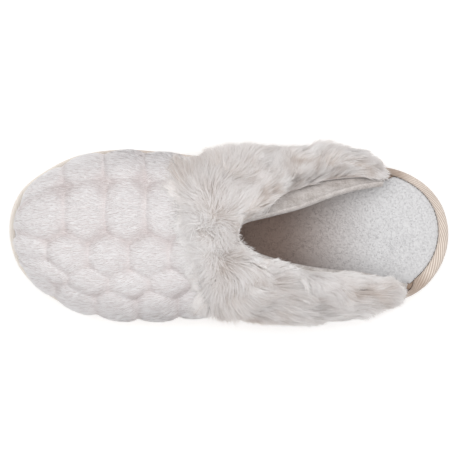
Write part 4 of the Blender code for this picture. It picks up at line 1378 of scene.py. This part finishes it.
class SCUFF_OT_collar(bpy.types.Operator):
    """Make the fur collar: its backing roll and its locks of long hair"""

    bl_idname = "scuff.collar"
    bl_label = "Fur collar"

    def execute(self, context):
        fur = context.scene.scuff_fur
        upper = upper_form()
        # painted shade: the backing is coloured darker than the fur to stand in for the shade deep
        # among the hairs
        backing_shade = plush_finish(
            "fur_backing", scaled(fur.shade_colour, 0.84), scaled(fur.shade_colour, 0.77),
            0.0008, 150.0, 900.0,
        )
        outside, inner, depth = roll_sections(upper, ROLL_CORE)
        roll = shell("fur_backing", np.concatenate([outside, inner], axis=1), backing_shade)
        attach(roll, "root")
        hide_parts("fur_collar")
        hairs = hair_finish(
            "long_fur", fur.root_colour, fur.tip_colour, fur.shade_colour, 0.6
        )
        skin = bpy.data.objects["quilted_shell"].data
        tree = BVHTree.FromPolygons(
            [tuple(v.co / MM) for v in skin.vertices], [tuple(p.vertices) for p in skin.polygons]
        )
        rng = np.random.default_rng(fur.seed)
        places = upper.places
        vamp = (edge_place(0.52, 1), edge_place(0.52, -1))
        spans = {
            "fur_lateral": (places[0], vamp[0]),
            "fur_vamp": vamp,
            "fur_medial": (vamp[1], places[-1]),
        }
        backing = unit(np.cross(np.gradient(outside, axis=1), np.gradient(outside, axis=0)))
        normals = grid_normals(outside, np.sign((backing[SECTIONS // 2, 20, 2])) * backing)
        front = 1 - ramp(np.arange(ROLL_SAMPLES) / ROLL_SAMPLES, 0.05, 0.4)
        for name, (first, last) in spans.items():
            inside = ((places >= first - 1) & (places <= last + 1)).astype(float)
            weight = inside[:, None] * (1 + FRONT_GAIN * (name == "fur_vamp") * front)
            obj = self.hair(name, fur, outside, normals, depth, weight, tree, hairs, rng)
            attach(obj, "root")
        return {"FINISHED"}

    def hair(self, name, fur, skin, normals, depth, weight, tree, hairs, rng):
        """One piece of the collar's hair, in locks and wisps that sweep away from the whorl."""
        count = FUR_HAIRS
        spread = Scatter(skin, count, rng, weight)
        root, normal = spread.read(skin), unit(spread.read(normals))

        def across(values):
            return spread.read(np.repeat(values[:, None], ROLL_SAMPLES, axis=1))

        fullness = across(depth) / FUR_DEPTH
        near_end = ramp(across(wing_distance()), 0, 26)
        inward = across(upper_form().ahead(upper_form().top)[:, 0])
        outward = -spread.read(unit(np.gradient(skin, axis=1)))
        over_edge = ramp(spread.column / ROLL_SAMPLES, 0.6, 0.9)
        medial = root[:, 1] < 0
        start, end = PARTING
        share = np.clip(((root[:, :2] - start) @ (end - start)) / ((end - start) ** 2).sum(), 0, 1)
        away = np.zeros((count, 3))
        away[:, :2] = root[:, :2] - (start + share[:, None] * (end - start))
        away[:, 0] += 2.5 * wander(root, rng, 9.0)
        away[:, 1] += 2.0 * wander(root, rng, 9.0)
        far = np.linalg.norm(away, axis=1)
        back = ramp(70 - root[:, 0], 0, 60)[:, None]
        away = unit(away)
        upright = (1 - ramp(normal[:, 2], 0.1, 0.6))[:, None]
        sides = away * np.array([1.0, 0, 0]) + outward * np.abs(away[:, 1:2])
        flow = away * (1 - upright) + sides * upright
        flow = unit(flow) * (1 - 0.5 * back) + np.array([-1.0, 0, 0]) * 0.5 * back
        near = 1 - ramp(far, 2, 16)
        locks = self.centres(fur.lock_size / MM, rng)
        owner = nearest(root, root[locks])
        sway = (
            0.26 * wander(root, rng, 32.0)
            + rng.normal(0, 0.10, len(locks))[owner]
            + rng.normal(0, 1, count) * (0.08 + 0.8 * near)
        )
        flow = turned(flow, normal, sway)
        column = spread.column / ROLL_SAMPLES
        leading = (1 - ramp(column, 0.05, 0.55)) * ramp(root[:, 0], 60, 85)
        flow = flow + leading[:, None] * np.array([0.9, 0, 0])
        held = np.where(medial, 0.7, 0.25) * over_edge
        inside = np.clip((flow * inward).sum(-1), 0, None) * held
        turned_in = 0.45 * ramp(column, 0.45, 0.8) * ~medial * ramp(root[:, 0], 8, 25)
        flow = flow + inward * (turned_in - inside)[:, None]
        flow = unit(flow - normal * (flow * normal).sum(-1, keepdims=True))
        rise = 0.10 * wander(root, rng, 20.0) + rng.normal(0, 0.04, len(locks))[owner]
        top = ramp(normal[:, 2], 0.15, 0.75)
        start = unit(normal * (0.26 + 0.24 * top + 0.2 * near + rise)[:, None] + flow)
        lift = (0.10 + 0.06 * top + 0.5 * rise + 0.12 * near)[:, None]
        end = unit(flow + normal * lift + np.array([0, 0, -0.08]))
        end = unit(end + rng.normal(0, 0.07, end.shape))
        hollow = np.maximum(self.hollow(root), self.hollow(root + flow * 6.5))
        hollow = hollow * rng.uniform(0.35, 1.0, count)
        length = fur.length / MM * rng.uniform(0.7, 1.1, count)
        length = length * rng.uniform(0.92, 1.08, len(locks))[owner]
        length = length * (0.45 + 0.55 * np.clip(fullness, 0, 1))
        length = length * np.where(medial, 0.7 + 0.3 * near_end, 0.6 + 0.4 * near_end)
        length = length * (1 - 0.5 * hollow) * (1 - 0.25 * over_edge) * (1 - 0.3 * near)
        low = 0.6 * (1 - 0.6 * medial * (1 - ramp(root[:, 0], 12, 28)))
        length = length * (0.62 + 0.38 * top) * (1 - low * (1 - ramp(root[:, 2], 22, 36)))
        length = length * (1 + 0.7 * leading * top)
        length = length * (1 - 0.35 * ramp(root[:, 1], 34, 46) * ramp(root[:, 0], 82, 90))
        length = length * (1 - 0.8 * ramp(root[:, 0], 70, 86) * upright[:, 0] * ~medial)
        edge = across(upper_form().point(upper_form().top)[:, 0])
        allowed = np.where(medial, 2.5 + 4.0 * ramp(root[:, 0], 42, 56), 10.0)
        allowed = allowed - np.where(medial, 3.0, 5.5) * ramp(root[:, 0], 58, 76)
        allowed = allowed + rng.normal(0, 1.2, len(locks))[owner] + rng.normal(0, 0.8, count)
        left = ((edge - root) * inward).sum(-1) + allowed
        along = np.clip((flow * inward).sum(-1), 0.2, 1)
        length = np.minimum(length, np.maximum(left / along, 3.5))
        curl = 0.5 * wander(root, rng, 26.0) + rng.normal(0, 0.15, count)
        spine = strands(root, start, end, length, 5, 0.7, normal, curl)
        spine = gather(spine, owner, spine[locks], LOCK_PULL)
        wisps = self.centres(fur.wisp_size / MM, rng)
        wisp = nearest(root, root[wisps])
        spine = gather(spine, wisp, spine[wisps], WISP_PULL, 1.0)
        spine = clear_of(spine, tree, HAIR_CLEARANCE)
        rough = (1 - 0.6 * ramp(root[:, 0], 98, 112))[:, None]
        tilt = rng.normal(0, 0.17, (len(wisps), 3))[wisp] + rng.normal(0, 0.12, (count, 3))
        front = leading * (1 - 0.9 * ramp(-root[:, 1], 6, 24))
        front = front * (1 - 0.7 * ramp(root[:, 1], 22, 40))
        inner_lip = over_edge * ~medial
        lit = np.maximum(upright, np.maximum(front * 1.4, inner_lip * 1.6)[:, None])
        lit = lit * np.array([0, 0, 0.45])
        facing = np.repeat((normal + 0.2 * flow + tilt * rough + lit)[:, None], 5, axis=1)
        # painted shade darkens the hollows between tufts and the sides of the leading edge; painted
        # light lifts the front of the vamp and the lateral wing's inner lip
        tone = (
            0.47
            + rng.normal(0, 0.05, len(locks))[owner]
            + rng.normal(0, 0.08, len(wisps))[wisp]
            + rng.normal(0, 0.07, count)
            - 0.55 * hollow
            - 0.2 * near
            + 0.5 * ramp(root[:, 0], 92, 106) * top * (1 - 0.9 * ramp(-root[:, 1], 4, 24))
            * (1 - 0.6 * ramp(root[:, 1], 24, 42))
            + 0.25 * inner_lip
            - 0.34 * leading * ramp(np.abs(root[:, 1]), 14, 26)
            - 0.03 * medial * (1 - ramp(root[:, 0], 70, 95))
            + 0.12 * wander(root, rng, 15.0) * (1 - ramp(root[:, 0], 85, 105))
        )
        width = fur.width / MM * rng.uniform(0.75, 1.2, count)
        return ribbons(
            name, spine, facing, width, np.clip(tone, 0, 1), hairs, rng.uniform(-0.6, 0.6, count)
        )

    def hollow(self, root):
        """1 in the middle of a hollow in the fur and 0 outside it."""
        deep = np.zeros(len(root))
        for x, y, radius in zip(*HOLLOWS.values()):
            far = np.hypot(root[:, 0] - x, root[:, 1] - y) / radius
            deep = np.maximum(deep, 1 - ramp(far, 0.2, 1.2))
        return deep

    def centres(self, spacing, rng):
        """Leading hairs of locks, about one for each square of the spacing."""
        return rng.choice(FUR_HAIRS, max(int(FUR_AREA / spacing**2), 8), replace=False)


class SCUFF_OT_studio(bpy.types.Operator):
    """Make the floor, the lights and the camera"""

    bl_idname = "scuff.studio"
    bl_label = "Studio"

    def execute(self, context):
        studio = context.scene.scuff_studio
        scene = context.scene
        paper, tree, shader = finish("studio_paper", studio.floor_colour, 0.9, specular=0.1)
        shader.inputs["Emission Color"].default_value = (1, 1, 1, 1)
        shader.inputs["Emission Strength"].default_value = studio.glow
        mesh = bpy.data.meshes.new("studio_floor")
        size = FLOOR_SIZE
        mesh.from_pydata(
            [(-size, -size, 0), (size, -size, 0), (size, size, 0), (-size, size, 0)],
            [], [(0, 1, 2, 3)],
        )
        mesh.materials.append(paper)
        floor = bpy.data.objects.new("studio_floor", mesh)
        scene.collection.objects.link(floor)
        world = bpy.data.worlds.new("studio_sky")
        world.use_nodes = True
        sky = world.node_tree.nodes["Background"]
        sky.inputs["Color"].default_value = (1, 1, 1, 1)
        sky.inputs["Strength"].default_value = studio.sky
        scene.world = world
        light = bpy.data.lights.new("overhead_softbox", "AREA")
        light.shape = "RECTANGLE"
        light.size, light.size_y = SOFTBOX_SIZE
        light.energy = studio.key
        lamp = bpy.data.objects.new("overhead_softbox", light)
        lamp.location = SOFTBOX_PLACE
        aim = Vector(SOFTBOX_AIM) - lamp.location
        lamp.rotation_euler = aim.to_track_quat("-Z", "Y").to_euler()
        scene.collection.objects.link(lamp)
        scene.view_settings.view_transform = "Standard"
        scene.view_settings.look = "None"
        camera = bpy.data.cameras.new("product_camera")
        camera.sensor_width = SENSOR
        camera.lens = SENSOR * (studio.distance - PHOTO_HEIGHT) / PHOTO_SPAN
        camera.clip_end = 20.0
        view = bpy.data.objects.new("product_camera", camera)
        view.location = (*PHOTO_CENTRE, studio.distance)
        view.rotation_euler = (0, 0, math.pi)
        scene.collection.objects.link(view)
        scene.camera = view
        return {"FINISHED"}


STEPS = (
    SCUFF_OT_outsole,
    SCUFF_OT_binding,
    SCUFF_OT_insole,
    SCUFF_OT_upper,
    SCUFF_OT_collar,
    SCUFF_OT_studio,
)
SETTINGS = {
    "scuff_fur": ScuffFurSettings,
    "scuff_upper": ScuffUpperSettings,
    "scuff_sole": ScuffSoleSettings,
    "scuff_studio": ScuffStudioSettings,
}


class SCUFF_PT_panel(bpy.types.Panel):
    """The slipper's settings and steps"""

    bl_label = "Scuff Slipper"
    bl_idname = "SCUFF_PT_panel"
    bl_space_type = "VIEW_3D"
    bl_region_type = "UI"
    bl_category = "Scuff Slipper"

    def draw(self, context):
        for name in SETTINGS:
            box = self.layout.box()
            settings = getattr(context.scene, name)
            for key in settings.__annotations__:
                box.prop(settings, key)
        for step in STEPS:
            self.layout.operator(step.bl_idname)


def register():
    for settings in SETTINGS.values():
        bpy.utils.register_class(settings)
    for step in (*STEPS, SCUFF_PT_panel):
        bpy.utils.register_class(step)
    for name, settings in SETTINGS.items():
        setattr(bpy.types.Scene, name, PointerProperty(type=settings))


def unregister():
    for name in SETTINGS:
        delattr(bpy.types.Scene, name)
    for made in (SCUFF_PT_panel, *STEPS, *SETTINGS.values()):
        bpy.utils.unregister_class(made)


def main():
    register()
    for step in STEPS:
        module, name = step.bl_idname.split(".")
        getattr(getattr(bpy.ops, module), name)()


if __name__ == "__main__":
    main()
